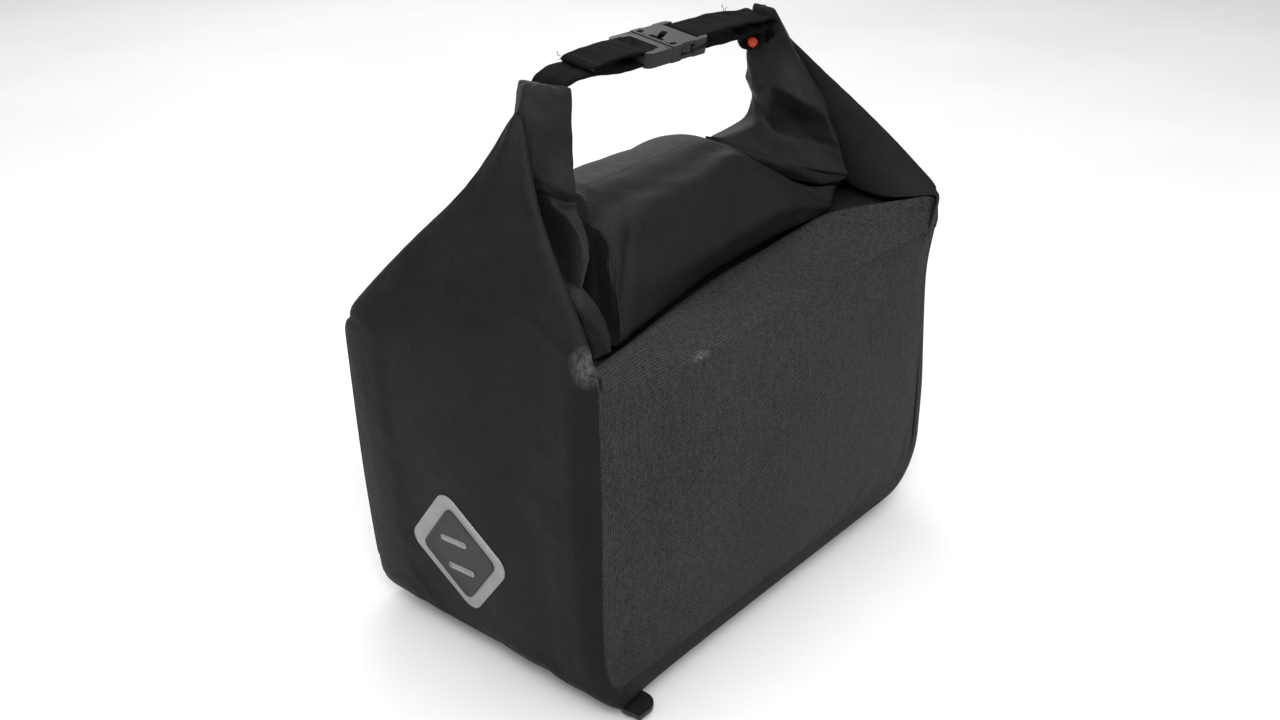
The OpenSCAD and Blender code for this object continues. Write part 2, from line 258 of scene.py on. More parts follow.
# ------------------------------------------------------------------ materials
class Net:
    def __init__(self, name):
        self.m = bpy.data.materials.new(name)
        self.m.use_nodes = True
        self.t = self.m.node_tree
        self.t.nodes.clear()
        self.out = self.t.nodes.new("ShaderNodeOutputMaterial")
        self.b = self.t.nodes.new("ShaderNodeBsdfPrincipled")
        self.t.links.new(self.b.outputs[0], self.out.inputs[0])

    def node(self, kind, inputs=None, **props):
        n = self.t.nodes.new(kind)
        for k, v in props.items():
            setattr(n, k, v)
        for k, v in (inputs or {}).items():
            self.put(n.inputs[k], v)
        return n

    def put(self, socket, v):
        if isinstance(v, bpy.types.NodeSocket):
            self.t.links.new(v, socket)
        else:
            socket.default_value = v

    def set(self, **values):
        names = {"color": "Base Color", "rough": "Roughness", "spec": "Specular IOR Level", "metal": "Metallic", "sheen": "Sheen Weight",
                 "sheen_rough": "Sheen Roughness", "coat": "Coat Weight", "coat_rough": "Coat Roughness", "normal": "Normal"}
        for k, v in values.items():
            self.put(self.b.inputs[names[k]], v)

    def math(self, op, a, b=None, c=None, clamp=False):
        n = self.node("ShaderNodeMath", operation=op, use_clamp=clamp)
        for i, v in enumerate((a, b, c)):
            if v is not None:
                self.put(n.inputs[i], v)
        return n.outputs[0]

    def mix(self, f, a, b):
        n = self.node("ShaderNodeMix", data_type="RGBA")
        self.put(n.inputs[0], f)
        self.put(n.inputs[6], a)
        self.put(n.inputs[7], b)
        return n.outputs[2]

    def ramp(self, v, stops):
        n = self.node("ShaderNodeValToRGB")
        e = n.color_ramp.elements
        while len(e) < len(stops):
            e.new(0.5)
        for i, (p, c) in enumerate(stops):
            e[i].position = p
            e[i].color = (*c, 1) if len(c) == 3 else c
        self.put(n.inputs[0], v)
        return n.outputs[0]

    def noise(self, vec, scale, detail=3.0, rough=0.55, dist=0.0):
        n = self.node("ShaderNodeTexNoise", {"Scale": scale, "Detail": detail, "Roughness": rough, "Distortion": dist})
        if vec is not None:
            self.put(n.inputs["Vector"], vec)
        return n.outputs["Fac"]

    def bumped(self, height, strength, distance, normal=None):
        n = self.node("ShaderNodeBump", {"Height": height, "Strength": strength, "Distance": distance})
        if normal is not None:
            self.put(n.inputs["Normal"], normal)
        return n.outputs[0]

    def obj(self):
        return self.node("ShaderNodeTexCoord").outputs["Object"]

    def uv(self):
        return self.node("ShaderNodeTexCoord").outputs["UV"]

    def scaled(self, vec, s):
        n = self.node("ShaderNodeVectorMath", operation="MULTIPLY")
        self.put(n.inputs[0], vec)
        n.inputs[1].default_value = s if hasattr(s, "__len__") else (s, s, s)
        return n.outputs[0]

    def spot(self, centre, radius, soft=1.0):
        """1 near a point of the row frame, in metres, fading to 0 at radius."""
        v = self.node("ShaderNodeVectorMath", operation="SUBTRACT")
        self.put(v.inputs[0], self.obj())
        v.inputs[1].default_value = centre
        w = self.scaled(v.outputs[0], tuple(1 / r for r in (radius if hasattr(radius, "__len__") else (radius,) * 3)))
        n = self.node("ShaderNodeVectorMath", operation="LENGTH")
        self.put(n.inputs[0], w)
        return self.math("SUBTRACT", 1.0, n.outputs["Value"], clamp=True)


def grey(v, tint=(1.0, 0.975, 0.985)):
    return (v * tint[0], v * tint[1], v * tint[2], 1)


def threads(net, uv, pu, pv):
    """Plain weave height from UV: warp and weft threads that pass over each other. Pitches in metres."""
    sep = net.node("ShaderNodeSeparateXYZ", {0: uv})
    u = net.math("MULTIPLY", sep.outputs[0], math.pi / pu)
    v = net.math("MULTIPLY", sep.outputs[1], math.pi / pv)
    su, sv = net.math("SINE", u), net.math("SINE", v)
    au, av = net.math("ABSOLUTE", su), net.math("ABSOLUTE", sv)
    # checker sign of which thread is on top
    cu = net.math("SIGN", net.math("SINE", net.math("MULTIPLY", u, 1.0)))
    cv = net.math("SIGN", net.math("SINE", net.math("MULTIPLY", v, 1.0)))
    over = net.math("MULTIPLY_ADD", net.math("MULTIPLY", cu, cv), 0.5, 0.5)
    a = net.math("MULTIPLY", au, net.math("MULTIPLY_ADD", over, 0.6, 0.4))
    b = net.math("MULTIPLY", av, net.math("MULTIPLY_ADD", over, -0.6, 1.0))
    return net.math("MAXIMUM", a, b)


def mat_woven():
    n = Net("woven_coated_cloth")
    uv, ob = n.uv(), n.obj()
    slub_u = n.noise(n.scaled(uv, (260, 1500, 1)), 1.0, 2, 0.6)
    slub_v = n.noise(n.scaled(uv, (1500, 260, 1)), 1.0, 2, 0.6)
    jit = n.node("ShaderNodeVectorMath", operation="ADD")
    n.put(jit.inputs[0], uv)
    n.put(jit.inputs[1], n.scaled(n.node("ShaderNodeTexNoise", {"Vector": n.scaled(uv, (90, 90, 1)), "Scale": 1.0, "Detail": 2.0}).outputs["Color"], (0.0022, 0.0022, 0)))
    w = threads(n, jit.outputs[0], 0.0017, 0.0017)
    grain = n.math("ADD", slub_u, slub_v)
    h = n.math("MULTIPLY_ADD", grain, 0.75, w)
    cloud = n.noise(ob, 9, 4, 0.6)
    mottle = n.noise(ob, 300, 2, 0.6)
    streak = n.noise(n.scaled(ob, (380, 380, 70)), 1.0, 2, 0.6)
    tone = n.math("MULTIPLY_ADD", grain, 1.0, n.math("MULTIPLY_ADD", w, 0.75, -1.00))
    tone = n.math("ADD", tone, n.math("ADD", n.math("MULTIPLY_ADD", mottle, 0.42, -0.21), n.math("MULTIPLY_ADD", streak, 0.42, -0.23)))
    col = n.ramp(n.math("ADD", tone, n.math("MULTIPLY_ADD", cloud, 0.4, 0.0)), [(0.05, grey(0.003)), (0.50, grey(0.0118)), (1.0, grey(0.042))])
    n.set(color=col, rough=n.math("MULTIPLY_ADD", cloud, 0.12, 0.66), spec=0.09, sheen=0.01, sheen_rough=0.45)
    n.set(normal=n.bumped(h, 0.8, 0.0006, n.bumped(n.noise(ob, 28, 3), 0.25, 0.0016)))
    streaks = n.ramp(n.noise(n.scaled(ob, (700, 700, 260)), 1.0, 3, 0.7), [(0.42, (0, 0, 0)), (0.75, (1, 1, 1))])
    scuff = n.math("MULTIPLY", n.spot((-0.0985, -0.1, 0.2025), (0.010, 0.02, 0.0026)), streaks)
    # Painted highlight: a small light spot at the front left top corner stands in for a glint there.
    corner_glint = n.math("MULTIPLY", n.spot((-0.179, -0.1, 0.2185), (0.0035, 0.02, 0.0035)), n.noise(n.scaled(ob, (500, 500, 500)), 1.0, 3))
    sep = n.node("ShaderNodeSeparateXYZ", {0: ob})
    low = n.math("SUBTRACT", 1.0, n.math("MULTIPLY", n.math("ABSOLUTE", n.math("SUBTRACT", sep.outputs[2], 0.0174)), 900), clamp=True)
    flecks = n.math("MULTIPLY", low, n.ramp(n.noise(n.scaled(ob, (150, 150, 600)), 1.0, 3, 0.7), [(0.45, (0, 0, 0)), (0.80, (1, 1, 1))]))
    # The scuff streak and the flecks along the bottom seam are the cloth's own marks; the corner spot mixed in with
    # them is a painted highlight.
    m = n.math("MULTIPLY", n.math("ADD", n.math("MULTIPLY", scuff, 1.8), n.math("ADD", corner_glint, n.math("MULTIPLY", flecks, 0.35))), 0.6, clamp=True)
    n.set(color=n.mix(m, col, grey(0.20)))
    return n.m


def mat_coated(name="smooth_coated_cloth", rib=0.0012, rib_amt=0.30, base=(0.004, 0.009, 0.018), rib_v=0.15):
    n = Net(name)
    uv, ob = n.uv(), n.obj()
    sep = n.node("ShaderNodeSeparateXYZ", {0: uv})
    ribs = n.math("ABSOLUTE", n.math("SINE", n.math("MULTIPLY", sep.outputs[0], math.pi / rib)))
    cross = n.math("ABSOLUTE", n.math("SINE", n.math("MULTIPLY", sep.outputs[1], math.pi / rib)))
    grain = n.noise(n.scaled(uv, (1150, 1150, 1)), 1.0, 3, 0.65)
    lines = n.math("MULTIPLY_ADD", cross, rib_v, n.math("MULTIPLY", ribs, rib_amt))
    h = n.math("ADD", lines, n.math("MULTIPLY", grain, 0.9))
    cloud = n.noise(ob, 14, 5, 0.62)
    fine = n.noise(ob, 160, 3, 0.6)
    tone = n.math("ADD", n.math("MULTIPLY_ADD", cloud, 0.8, -0.05), n.math("ADD", n.math("MULTIPLY_ADD", grain, 1.25, -0.56), n.math("ADD", n.math("MULTIPLY_ADD", lines, 0.35, -0.12), n.math("MULTIPLY_ADD", fine, 0.2, -0.1))))
    col = n.ramp(tone, [(0.15, grey(base[0])), (0.5, grey(base[1])), (0.9, grey(base[2]))])
    crease = n.noise(n.scaled(ob, (30, 30, 22)), 1.0, 4, 0.55, 0.6)
    # Near the front left corner the cloth is a smoother worn patch (lower roughness); its colour there is also
    # lightened towards grey as a painted highlight.
    worn_glint_zone = n.math("MULTIPLY", n.ramp(n.spot((-0.183, -0.0905, 0.2235), (0.012, 0.0105, 0.0135)), [(0.0, (0, 0, 0)), (0.8, (1, 1, 1))]), n.ramp(n.noise(n.scaled(ob, (430, 430, 260)), 1.0, 4, 0.7), [(0.30, (0, 0, 0)), (0.70, (1, 1, 1))]))
    gloss_and_glint = n.math("MULTIPLY", worn_glint_zone, 0.8, clamp=True)
    n.set(color=n.mix(gloss_and_glint, col, grey(0.12)), rough=n.math("SUBTRACT", n.math("MULTIPLY_ADD", fine, 0.16, 0.46), n.math("MULTIPLY", gloss_and_glint, 0.2)),
          spec=0.095, sheen=0.006, sheen_rough=0.4)
    n.set(normal=n.bumped(h, 0.6, 0.0004, n.bumped(crease, 0.35, 0.0035)))
    return n.m


def mat_webbing():
    n = Net("ribbed_webbing")
    uv, ob = n.uv(), n.obj()
    sep = n.node("ShaderNodeSeparateXYZ", {0: uv})
    across = n.math("ABSOLUTE", n.math("SINE", n.math("MULTIPLY", sep.outputs[0], math.pi / 0.0016)))
    zig = n.math("ADD", n.math("MULTIPLY", sep.outputs[1], math.pi / 0.0011), n.math("MULTIPLY", sep.outputs[0], math.pi / 0.0032))
    along = n.math("ABSOLUTE", n.math("SINE", zig))
    fuzz = n.noise(n.scaled(uv, (3000, 3000, 1)), 1.0, 3, 0.7)
    h = n.math("ADD", n.math("MULTIPLY", across, along), n.math("MULTIPLY", fuzz, 0.4))
    col = n.ramp(h, [(0.1, grey(0.0008)), (0.6, grey(0.003)), (1.0, grey(0.009))])
    n.set(color=col, rough=0.8, spec=0.035, sheen=0.005, sheen_rough=0.4)
    n.set(normal=n.bumped(h, 0.7, 0.0004))
    return n.m


def mat_plastic(name, lo, hi, rough, grain=900, bumpy=0.12, spec=0.5):
    n = Net(name)
    ob = n.obj()
    cloud = n.noise(ob, 60, 4, 0.6)
    g = n.noise(ob, grain, 2, 0.5)
    scratch = n.noise(n.scaled(ob, (160, 1500, 1500)), 1.0, 2, 0.5)
    col = n.ramp(n.math("MULTIPLY_ADD", scratch, 0.3, n.math("MULTIPLY", cloud, 0.7)), [(0.25, grey(lo)), (0.75, grey(hi))])
    n.set(color=col, rough=n.math("MULTIPLY_ADD", g, 0.14, rough - 0.07), spec=spec)
    n.set(normal=n.bumped(g, bumpy, 0.0002, n.bumped(scratch, 0.05, 0.0002)))
    return n.m


def mat_reflective():
    n = Net("reflective_film")
    ob = n.obj()
    cells = n.node("ShaderNodeTexVoronoi", {"Vector": ob, "Scale": 1500.0}, feature="DISTANCE_TO_EDGE").outputs["Distance"]
    cloud = n.noise(ob, 70, 4, 0.6)
    col = n.ramp(n.math("ADD", n.math("MULTIPLY", cloud, 0.5), n.math("MULTIPLY", cells, 0.8)), [(0.1, grey(0.165, (1, 1, 0.99))), (0.6, grey(0.265, (1, 1, 0.99)))])
    n.set(color=col, rough=0.42, spec=0.5, metal=0.12)
    n.set(normal=n.bumped(cells, 0.25, 0.0001))
    return n.m


def mat_metal(name, tone, rough):
    n = Net(name)
    ob = n.obj()
    s = n.noise(n.scaled(ob, (60, 1600, 1600)), 1.0, 3, 0.6)
    n.set(color=n.ramp(s, [(0.2, grey(tone * 0.8, (1, 1, 1))), (0.8, grey(tone, (1, 1, 1)))]), metal=1.0, rough=n.math("MULTIPLY_ADD", s, 0.2, rough - 0.1))
    n.set(normal=n.bumped(s, 0.1, 0.0001))
    return n.m


def mat_orange():
    n = Net("orange_rod")
    ob = n.obj()
    s = n.noise(ob, 900, 3)
    n.set(color=n.ramp(s, [(0.3, (0.42, 0.022, 0.004)), (0.75, (0.86, 0.085, 0.012))]), rough=0.38, spec=0.5)
    n.set(normal=n.bumped(s, 0.2, 0.0002))
    return n.m


WOVEN = mat_woven()
COATED = mat_coated()
# Painted light: a lighter copy of the smooth coated cloth, brightened so the upright roll ends read as lit.
LIT_END_CLOTH = mat_coated("lit_upright_end_cloth", 0.0012, 0.30, (0.0065, 0.0145, 0.029))
ROLLCLOTH = mat_coated("ribbed_roll_cloth", 0.0018, 0.12, (0.0035, 0.0068, 0.0135), 0.5)
WEBBING = mat_webbing()
BUCKLE = mat_plastic("buckle_acetal", 0.011, 0.021, 0.45, spec=0.18)
RUBBER = mat_plastic("grey_rubber", 0.024, 0.036, 0.6, 700, 0.2, 0.25)
BLACK = mat_plastic("black_nylon", 0.006, 0.011, 0.45, spec=0.3)
BOARD = mat_plastic("board", 0.02, 0.03, 0.6)
FILM = mat_reflective()
ALU = mat_metal("satin_aluminium", 0.6, 0.38)
STEEL = mat_metal("plated_steel", 0.55, 0.33)
ORANGE = mat_orange()
THREAD = mat_plastic("seam_thread", 0.012, 0.025, 0.7, 1600, 0.3, 0.3)


# ------------------------------------------------------------------ the box-shaped body
# All shapes below are worked out in the corner frame (x along the front, y into the depth, z up from the bag's floor), in mm.
def row(P):
    return np.asarray(P, float) + OFF


FOLD_Z = [(-8, 214), (18, 210.5), (68, 204), (173, 205), (300, 203), (345, 203)]
GROOVE = [(-8, 1, 220), (12, 8, 217), (64, 25, 211), (116, 39, 208), (175, 46, 209), (231, 47, 212), (262, 45, 216), (290, 24, 222), (318, 8, 223), (345, 1, 222)]


def panel_right(z):
    return spline([(0, 296), (10, 300), (14, 314), (20, 323), (32, 331), (60, 332.5), (85, 331), (109, 331), (151, 327), (176, 329.5), (192, 334), (204, 337.5), (212, 339.3), (225, 341)], z)


def panel_bottom_left(z):
    return spline([(0, 14), (13.5, 9), (17, 4), (23, 0), (34, -3.2), (60, -5), (225, -6)], z)


def front_surface(x, z):
    """Depth of the front face at (x, z): slightly bulged, a little wavy, pressed in near its weld seams."""
    b = 5.5 * np.sin(np.pi * np.clip((x + 6) / 345, 0, 1)) ** 0.7 * np.sin(np.pi * np.clip(z / 214, 0, 1)) ** 0.6
    b = b + 1.0 * wavy(x, z, 11, 170) * smoothstep(0, 40, z)
    b = b - 1.6 * bump(x - 0.35 * (z - 190), 262, 26) * smoothstep(120, 200, z) + 1.2 * bump(x + 0.6 * (z - 190), 300, 14) * smoothstep(60, 180, z)
    # welded stiffener edge that shows as a soft line towards the upper right corner
    ax, az, bx, bz = 174.0, 209.0, 317.0, 209.0
    L = math.hypot(bx - ax, bz - az)
    along = ((x - ax) * (bx - ax) + (z - az) * (bz - az)) / L
    off = ((x - ax) * (bz - az) - (z - az) * (bx - ax)) / L
    b = b + (2.0 * bump(off, 0, 3.2) - 1.6 * bump(off, 8, 5)) * smoothstep(-45, 15, along) * smoothstep(L + 12, L - 10, along)
    return -b


def front_panel():
    nz, nx = 58, 92
    zs = np.concatenate([np.linspace(13.5, 34, 14), np.linspace(38, 200, nz - 14)])
    rows = []
    us = np.linspace(0, 1, nx)
    us = us + 0.035 * np.sin(2 * np.pi * us) * -1
    for z in zs:
        xl, xr = panel_bottom_left(z)[0], panel_right(z)[0]
        x = xl + (xr - xl) * us
        zz = z - 2.0 * np.exp(-np.clip(x - 8, 0, 999) / 30) * smoothstep(40, 12, z) - 1.5 * smoothstep(150, 300, x) * smoothstep(40, 12, z)
        rows.append(np.stack([x, front_surface(x, z), zz], 1))
    xl, xr = -6.0, 340.6
    x = xl + (xr - xl) * us
    zf = spline(FOLD_Z, x)
    g = spline(GROOVE, x)
    yf = front_surface(x, 200.0)
    for q in (0.0, 0.04, 0.09, 0.15, 0.22, 0.32, 0.45, 0.6, 0.75, 0.88, 1.0):
        # rounded top fold, then the shoulder up to the groove
        run = g[:, 0] - yf
        y = yf + run * q
        rise = (g[:, 1] - zf)
        lift = zf - 5.5 + 6.5 * (1 - np.exp(-q * run / 5.0)) + (rise - 1.0) * q
        lift = lift - 2.2 * np.sin(np.pi * q) * smoothstep(8, 40, run)
        xx = x - 2.8 * smoothstep(260, 339, x) * (1 - smoothstep(0.0, 0.25, q))
        rows.append(np.stack([xx, y, lift], 1))
    for k, (dy, dz) in enumerate(((5, -3), (12, -9), (20, -16))):
        rows.append(np.stack([x, g[:, 0] + dy, g[:, 1] + dz], 1))
    P = np.array(rows)
    ob = settle(grid("front_panel_cloth", row(P)), pins(len(P), nx, 1, 4, 1, 1, 4), grow=0.006, cap=1.5)
    return dress(ob, WOVEN, replaces=["front_panel"], thick=1.1, sub=1, offset=-1)


def back_panel():
    nz, nx = 40, 60
    zs = np.concatenate([np.linspace(9.5, 34, 10), np.linspace(40, 190, nz - 10)])
    rows = []
    us = np.linspace(0, 1, nx)
    for z in zs:
        xl = spline([(9.5, 4.5), (28, 0.8), (100, -3.2), (160, -4.8), (190, -5.2)], z)[0]
        xr = 303.5 + math.sqrt(32.5 ** 2 - (40 - min(z, 40)) ** 2) + spline([(9, 0), (40, 0.5), (60, 2.4), (90, 4), (190, 8.4)], z)[0]
        x = xl + (xr - xl) * us
        b = 5.0 * np.sin(np.pi * us) ** 0.7 * np.sin(np.pi * z / 205) ** 0.6 + 1.2 * wavy(x, z, 5, 160)
        rows.append(np.stack([x, 200 + b, np.full(nx, z)], 1))
    x = -5.2 + (347.5 + 5.2) * us
    top = spline([(-9, 191.5), (30, 195), (175, 200), (330, 200), (350, 198)], x)
    g = spline([(-9, 199, 192.5), (12, 192, 200), (64, 175, 205), (116, 161, 206), (175, 154, 208), (231, 153, 210), (262, 155, 212), (290, 176, 210), (318, 192, 206), (350, 199, 199.5)], x)
    for q in (0.0, 0.05, 0.12, 0.22, 0.36, 0.55, 0.78, 1.0):
        run = 201 - g[:, 0]
        rows.append(np.stack([x, 202.5 - run * q, top - 5 + 6 * (1 - np.exp(-q * run / 5)) + (g[:, 1] - top - 1) * q], 1))
    for dy, dz in ((-5, -3), (-12, -9), (-20, -16)):
        rows.append(np.stack([x, g[:, 0] + dy, g[:, 1] + dz], 1))
    ob = settle(grid("back_panel_cloth", row(np.array(rows)), flip=True), pins(len(rows), nx, 1, 4, 1, 1, 4), grow=0.006, cap=1.5)
    return dress(ob, WOVEN, replaces=["back_panel"], thick=1.1, sub=1, offset=-1)


# ear edges: front fold, back fold and the hidden valley, from the rim corner up to the tip
LEFT = dict(
    front=[(-7, 0, 220), (4, 22, 238), (15, 45, 256), (28, 70, 276), (37, 86, 298), (43, 95, 316), (46, 100, 323)],
    back=[(-10, 200, 192), (0, 180, 218), (12, 156, 246), (26, 130, 275), (36, 114, 299), (43, 106, 316), (47, 102, 323)],
    valley=[(-4, 5, 214), (12, 28, 220), (24, 60, 243), (36, 82, 265), (43, 93, 291), (46, 99, 311), (48, 101, 319)],
    valley_back=[(-6, 196, 188), (8, 178, 204), (22, 148, 234), (36, 122, 262), (43, 108, 290), (46, 103, 311), (48, 102, 319)])
RIGHT = dict(
    front=[(341, 0, 221), (333, 14, 238), (322, 31, 258), (308, 52, 281), (294, 68, 300), (285, 79, 313), (281, 88, 321)],
    back=[(352, 200, 198), (346, 180, 221), (334, 156, 247), (318, 132, 276), (302, 114, 300), (290, 104, 314), (283, 98, 321)],
    valley=[(338, 3, 220), (324, 12, 220), (313, 32, 219), (307, 58, 228), (302, 71, 256), (293, 82, 289), (285, 92, 311)],
    valley_back=[(348, 196, 192), (334, 184, 204), (318, 160, 214), (310, 140, 234), (302, 126, 262), (292, 112, 290), (285, 102, 312)])


def gusset():
    """One strip: left ear, left face, floor, right face, right ear. Rows run along the strip, columns from the front seam to the back seam."""
    cols_flange = [0.0, 0.35, 0.7]                     # from the seam to where the edge starts to round
    cols_round = np.linspace(0, 1, 8)
    nside = 40
    side = np.linspace(0, 1, nside)
    nrows_face, nrows_ear = 34, 26
    rows, stations = [], []

    def section(px, pz, nx_, nz_, inset, a, b, bulge, yf=0.0, yb=200.0, back_inset=12.0, rim=None):
        """Cross-section at outline point p with outward normal n."""
        pts = []
        for c in cols_flange:
            i = inset + (a - inset) * c
            pts.append((px - nx_ * i, yf, pz - nz_ * i))
        for c in cols_round[1:]:
            f = c * math.pi / 2
            pts.append((px - nx_ * a * (1 - math.sin(f)), yf + b * (1 - math.cos(f)), pz - nz_ * a * (1 - math.sin(f))))
        y0, y1 = yf + b, yb - b
        for c in side[1:-1]:
            y = y0 + (y1 - y0) * c
            k = bulge * (4 * c * (1 - c)) ** 0.8
            pts.append((px + nx_ * k, y, pz + nz_ * k))
        for c in cols_round[::-1]:
            f = c * math.pi / 2
            pts.append((px - nx_ * a * (1 - math.sin(f)), yb - b * (1 - math.cos(f)), pz - nz_ * a * (1 - math.sin(f))))
        for c in cols_flange[::-1][1:]:
            i = back_inset + (a - back_inset) * c
            pts.append((px - nx_ * i, yb, pz - nz_ * i))
        return np.array(pts)

    ncol = len(section(0, 0, 1, 0, 12, 8, 8, 0))
    y_of = section(0, 0, 1, 0, 12, 8, 8, 0)[:, 1]

    def face_left(f):
        """Row on the left face at height share f of the rim; the rim slopes down to the back."""
        inset = 1.2 + 9.3 * smoothstep(0.065, 0.0, f)
        s = section(0, 0, -1, 0, inset, 4.5, 26 - 6 * f, 0, back_inset=2 + 8 * smoothstep(0.065, 0.0, f))
        y = s[:, 1]
        rim = 221 - 29 * (y / 200)
        z = 9 + f * (rim - 9)
        base = spline([(0, 1.5), (0.1, -0.5), (0.35, -3.5), (0.7, -6), (1, -6.5)], f)[0]
        back = spline([(0, 0), (0.1, -2), (0.5, -7), (1, -10)], f)[0]
        bx = base + (back - base) * y / 200
        k = (4 * np.clip((y - 8) / 184, 0, 1) * (1 - np.clip((y - 8) / 184, 0, 1))) ** 0.9
        bul = 4.0 * math.sin(math.pi * min(f * 0.9 + 0.05, 1)) * k
        bul = bul * (1 - 0.75 * np.exp(-((y - 121) / 46) ** 2 - ((z - 58) / 46) ** 2))
        dent = 1.1 * wavy(y, z, 3, 130) * k - 2.2 * bump(y + 0.25 * (z - 120), 58, 22) * smoothstep(40, 110, z) * k
        fade = smoothstep(1.0, 0.90, f) * smoothstep(0.0, 0.10, f)
        x = s[:, 0] + bx - bul - dent + fade * (2.6 * bump(y, 6.5, 5.5) - 1.5 * bump(y, 19, 5.5))
        return np.stack([x, y, z], 1)

    def face_right(f):
        s = section(0, 0, 1, 0, 12, 7, 8, 0, back_inset=12)
        y = s[:, 1]
        rim = 222 - 24 * (y / 200)
        z = 44 + f * (rim - 44)
        base = spline([(0, 343.5), (0.15, 343), (0.4, 338), (0.62, 333.5), (0.76, 332), (0.88, 336), (1, 341)], f)[0]
        back = spline([(0, 346), (0.3, 348), (1, 352)], f)[0]
        bx = base + (back - base) * y / 200
        fl = spline([(0, 0), (0.8, 0), (1, 1)], f)[0]
        k = (4 * np.clip((y - 8) / 184, 0, 1) * (1 - np.clip((y - 8) / 184, 0, 1))) ** 0.9
        bul = 5.0 * math.sin(math.pi * min(f * 0.9 + 0.05, 1)) * k + 1.2 * wavy(y, z, 8, 120) * k
        x = s[:, 0] * (1 - 0.55 * fl) + bx + bul
        return np.stack([x, y, z], 1)

    def ear(E, f, sgn):
        """Row of an ear at share f from rim to tip."""
        n = 61
        F, B = curve(E["front"], n), curve(E["back"], n)
        V, W = curve(E["valley"], n), curve(E["valley_back"], n)
        i = f * (n - 1)
        at = lambda c: np.array([np.interp(i, np.arange(n), c[:, k]) for k in range(3)])
        e, b, v, w = at(F), at(B), at(V), at(W)
        nf, nr = len(cols_flange), len(cols_round)
        pts = []
        m0 = nf + nr - 1                     # columns before the side face
        open_ = smoothstep(0.0, 0.14, f)
        for j in range(m0):
            u = j / (m0 - 1)
            p = v + (e - v) * u
            sag = math.sin(math.pi * u) ** 0.8
            p = p + np.array([sgn * -3.0, -1.0, -9.0 if sgn < 0 else -4.5]) * sag * open_ * min(1, np.linalg.norm(e - v) / 40)
            pts.append(p)
        dirv = b - e
        L = np.linalg.norm(dirv)
        out = np.array([sgn * 1.0, 0, 0.35])
        out = out / np.linalg.norm(out)
        for c in side[1:-1]:
            bul = (4 * c * (1 - c)) ** (0.55 if sgn < 0 else 0.85) * ((5.5 if sgn < 0 else 3.6) * (1 - f) ** 0.5 + 1.5) + 1.2 * math.sin(7 * c + 5 * f)*(4 * c * (1 - c))
            pts.append(e + dirv * c + out * bul)
        for j in range(m0 - 1, -1, -1):
            u = j / (m0 - 1)
            p = w + (b - w) * u
            sag = math.sin(math.pi * u) ** 0.8
            pts.append(p + np.array([sgn * -3.0, 1.0, -9.0]) * sag * open_ * min(1, np.linalg.norm(b - w) / 40))
        return np.array(pts)

    # left ear from tip to rim
    for f in np.linspace(1, 0.03, nrows_ear):
        rows.append(ear(LEFT, f, -1))
    n_el = len(rows)
    for f in np.linspace(1, 0, nrows_face):
        rows.append(face_left(f))
    # bottom left corner, floor, bottom right corner
    def outline(px, pz, nx_, nz_, inset, a, b, bulge=0, back_inset=12):
        s = section(px, pz, nx_, nz_, inset, a, b, bulge, back_inset=back_inset)
        return s
    r = 8.0
    for t in np.linspace(0, math.pi / 2, 7)[1:]:
        nx_, nz_ = -math.cos(t), -math.sin(t)
        k = t / (math.pi / 2)
        q = outline(r + 1.5 + nx_ * r, r + nz_ * r, nx_, nz_, 10.5 + 6.5 * k, 4.5 - 1.3 * k, 26 - 22.4 * k, back_inset=10 + 2 * k)
        q[:, 2] -= 4.0 * np.exp(-q[:, 1] / 30) * k
        rows.append(q)
    for x in np.linspace(16, 296, 36):
        q = outline(x, 0, 0, -1, 17, 3.2, 3.6)
        q[:, 2] -= 4.0 * np.exp(-q[:, 1] / 30 - (x - 12) / 22)
        rows.append(q)
    R = 40.0
    for t in np.linspace(0, math.pi / 2, 14)[1:]:
        nx_, nz_ = math.sin(t), -math.cos(t)
        k = t / (math.pi / 2)
        rows.append(outline(303.5 + nx_ * R, 40 + nz_ * R, nx_, nz_, 17 - 5 * k, 3.2 + 3.8 * k, 3.6 + 4.4 * k))
    for f in np.linspace(0, 1, nrows_face):
        if f > 0:
            rows.append(face_right(f))
    for f in np.linspace(0.03, 1, nrows_ear):
        rows.append(ear(RIGHT, f, 1))
    P = np.array(rows)
    n_er = len(rows) - nrows_ear
    col = np.linspace(0, 1, P.shape[1])
    mask = (smoothstep(0.16, 0.34, col) * smoothstep(0.86, 0.70, col))[:, None]
    for _ in range(12):
        Q = P.copy()
        for c in (n_el, n_er):
            for j in range(c - 6, c + 6):
                w = 0.6 * (1 - abs(j - c + 0.5) / 6.5) * (0.06 + 0.94 * mask)
                Q[j] = P[j] * (1 - w) + 0.5 * w * (P[j - 1] + P[j + 1])
        P = Q
    ob = settle(grid("gusset_cloth", row(P), flip=True), pins(P.shape[0], P.shape[1], 3, 3, 9, 9, 6), grow=0.008, cap=1.8)
    return ob, P


front = front_panel()
back = back_panel()
gus, gusP = gusset()
dress(gus, COATED, replaces=["side_gusset", "sleeve_shell", "ear_left", "ear_right"], thick=1.0, sub=1, offset=-1)
bpy.context.view_layer.update()
GUS_TREE = BVHTree.FromObject(gus, bpy.context.evaluated_depsgraph_get())


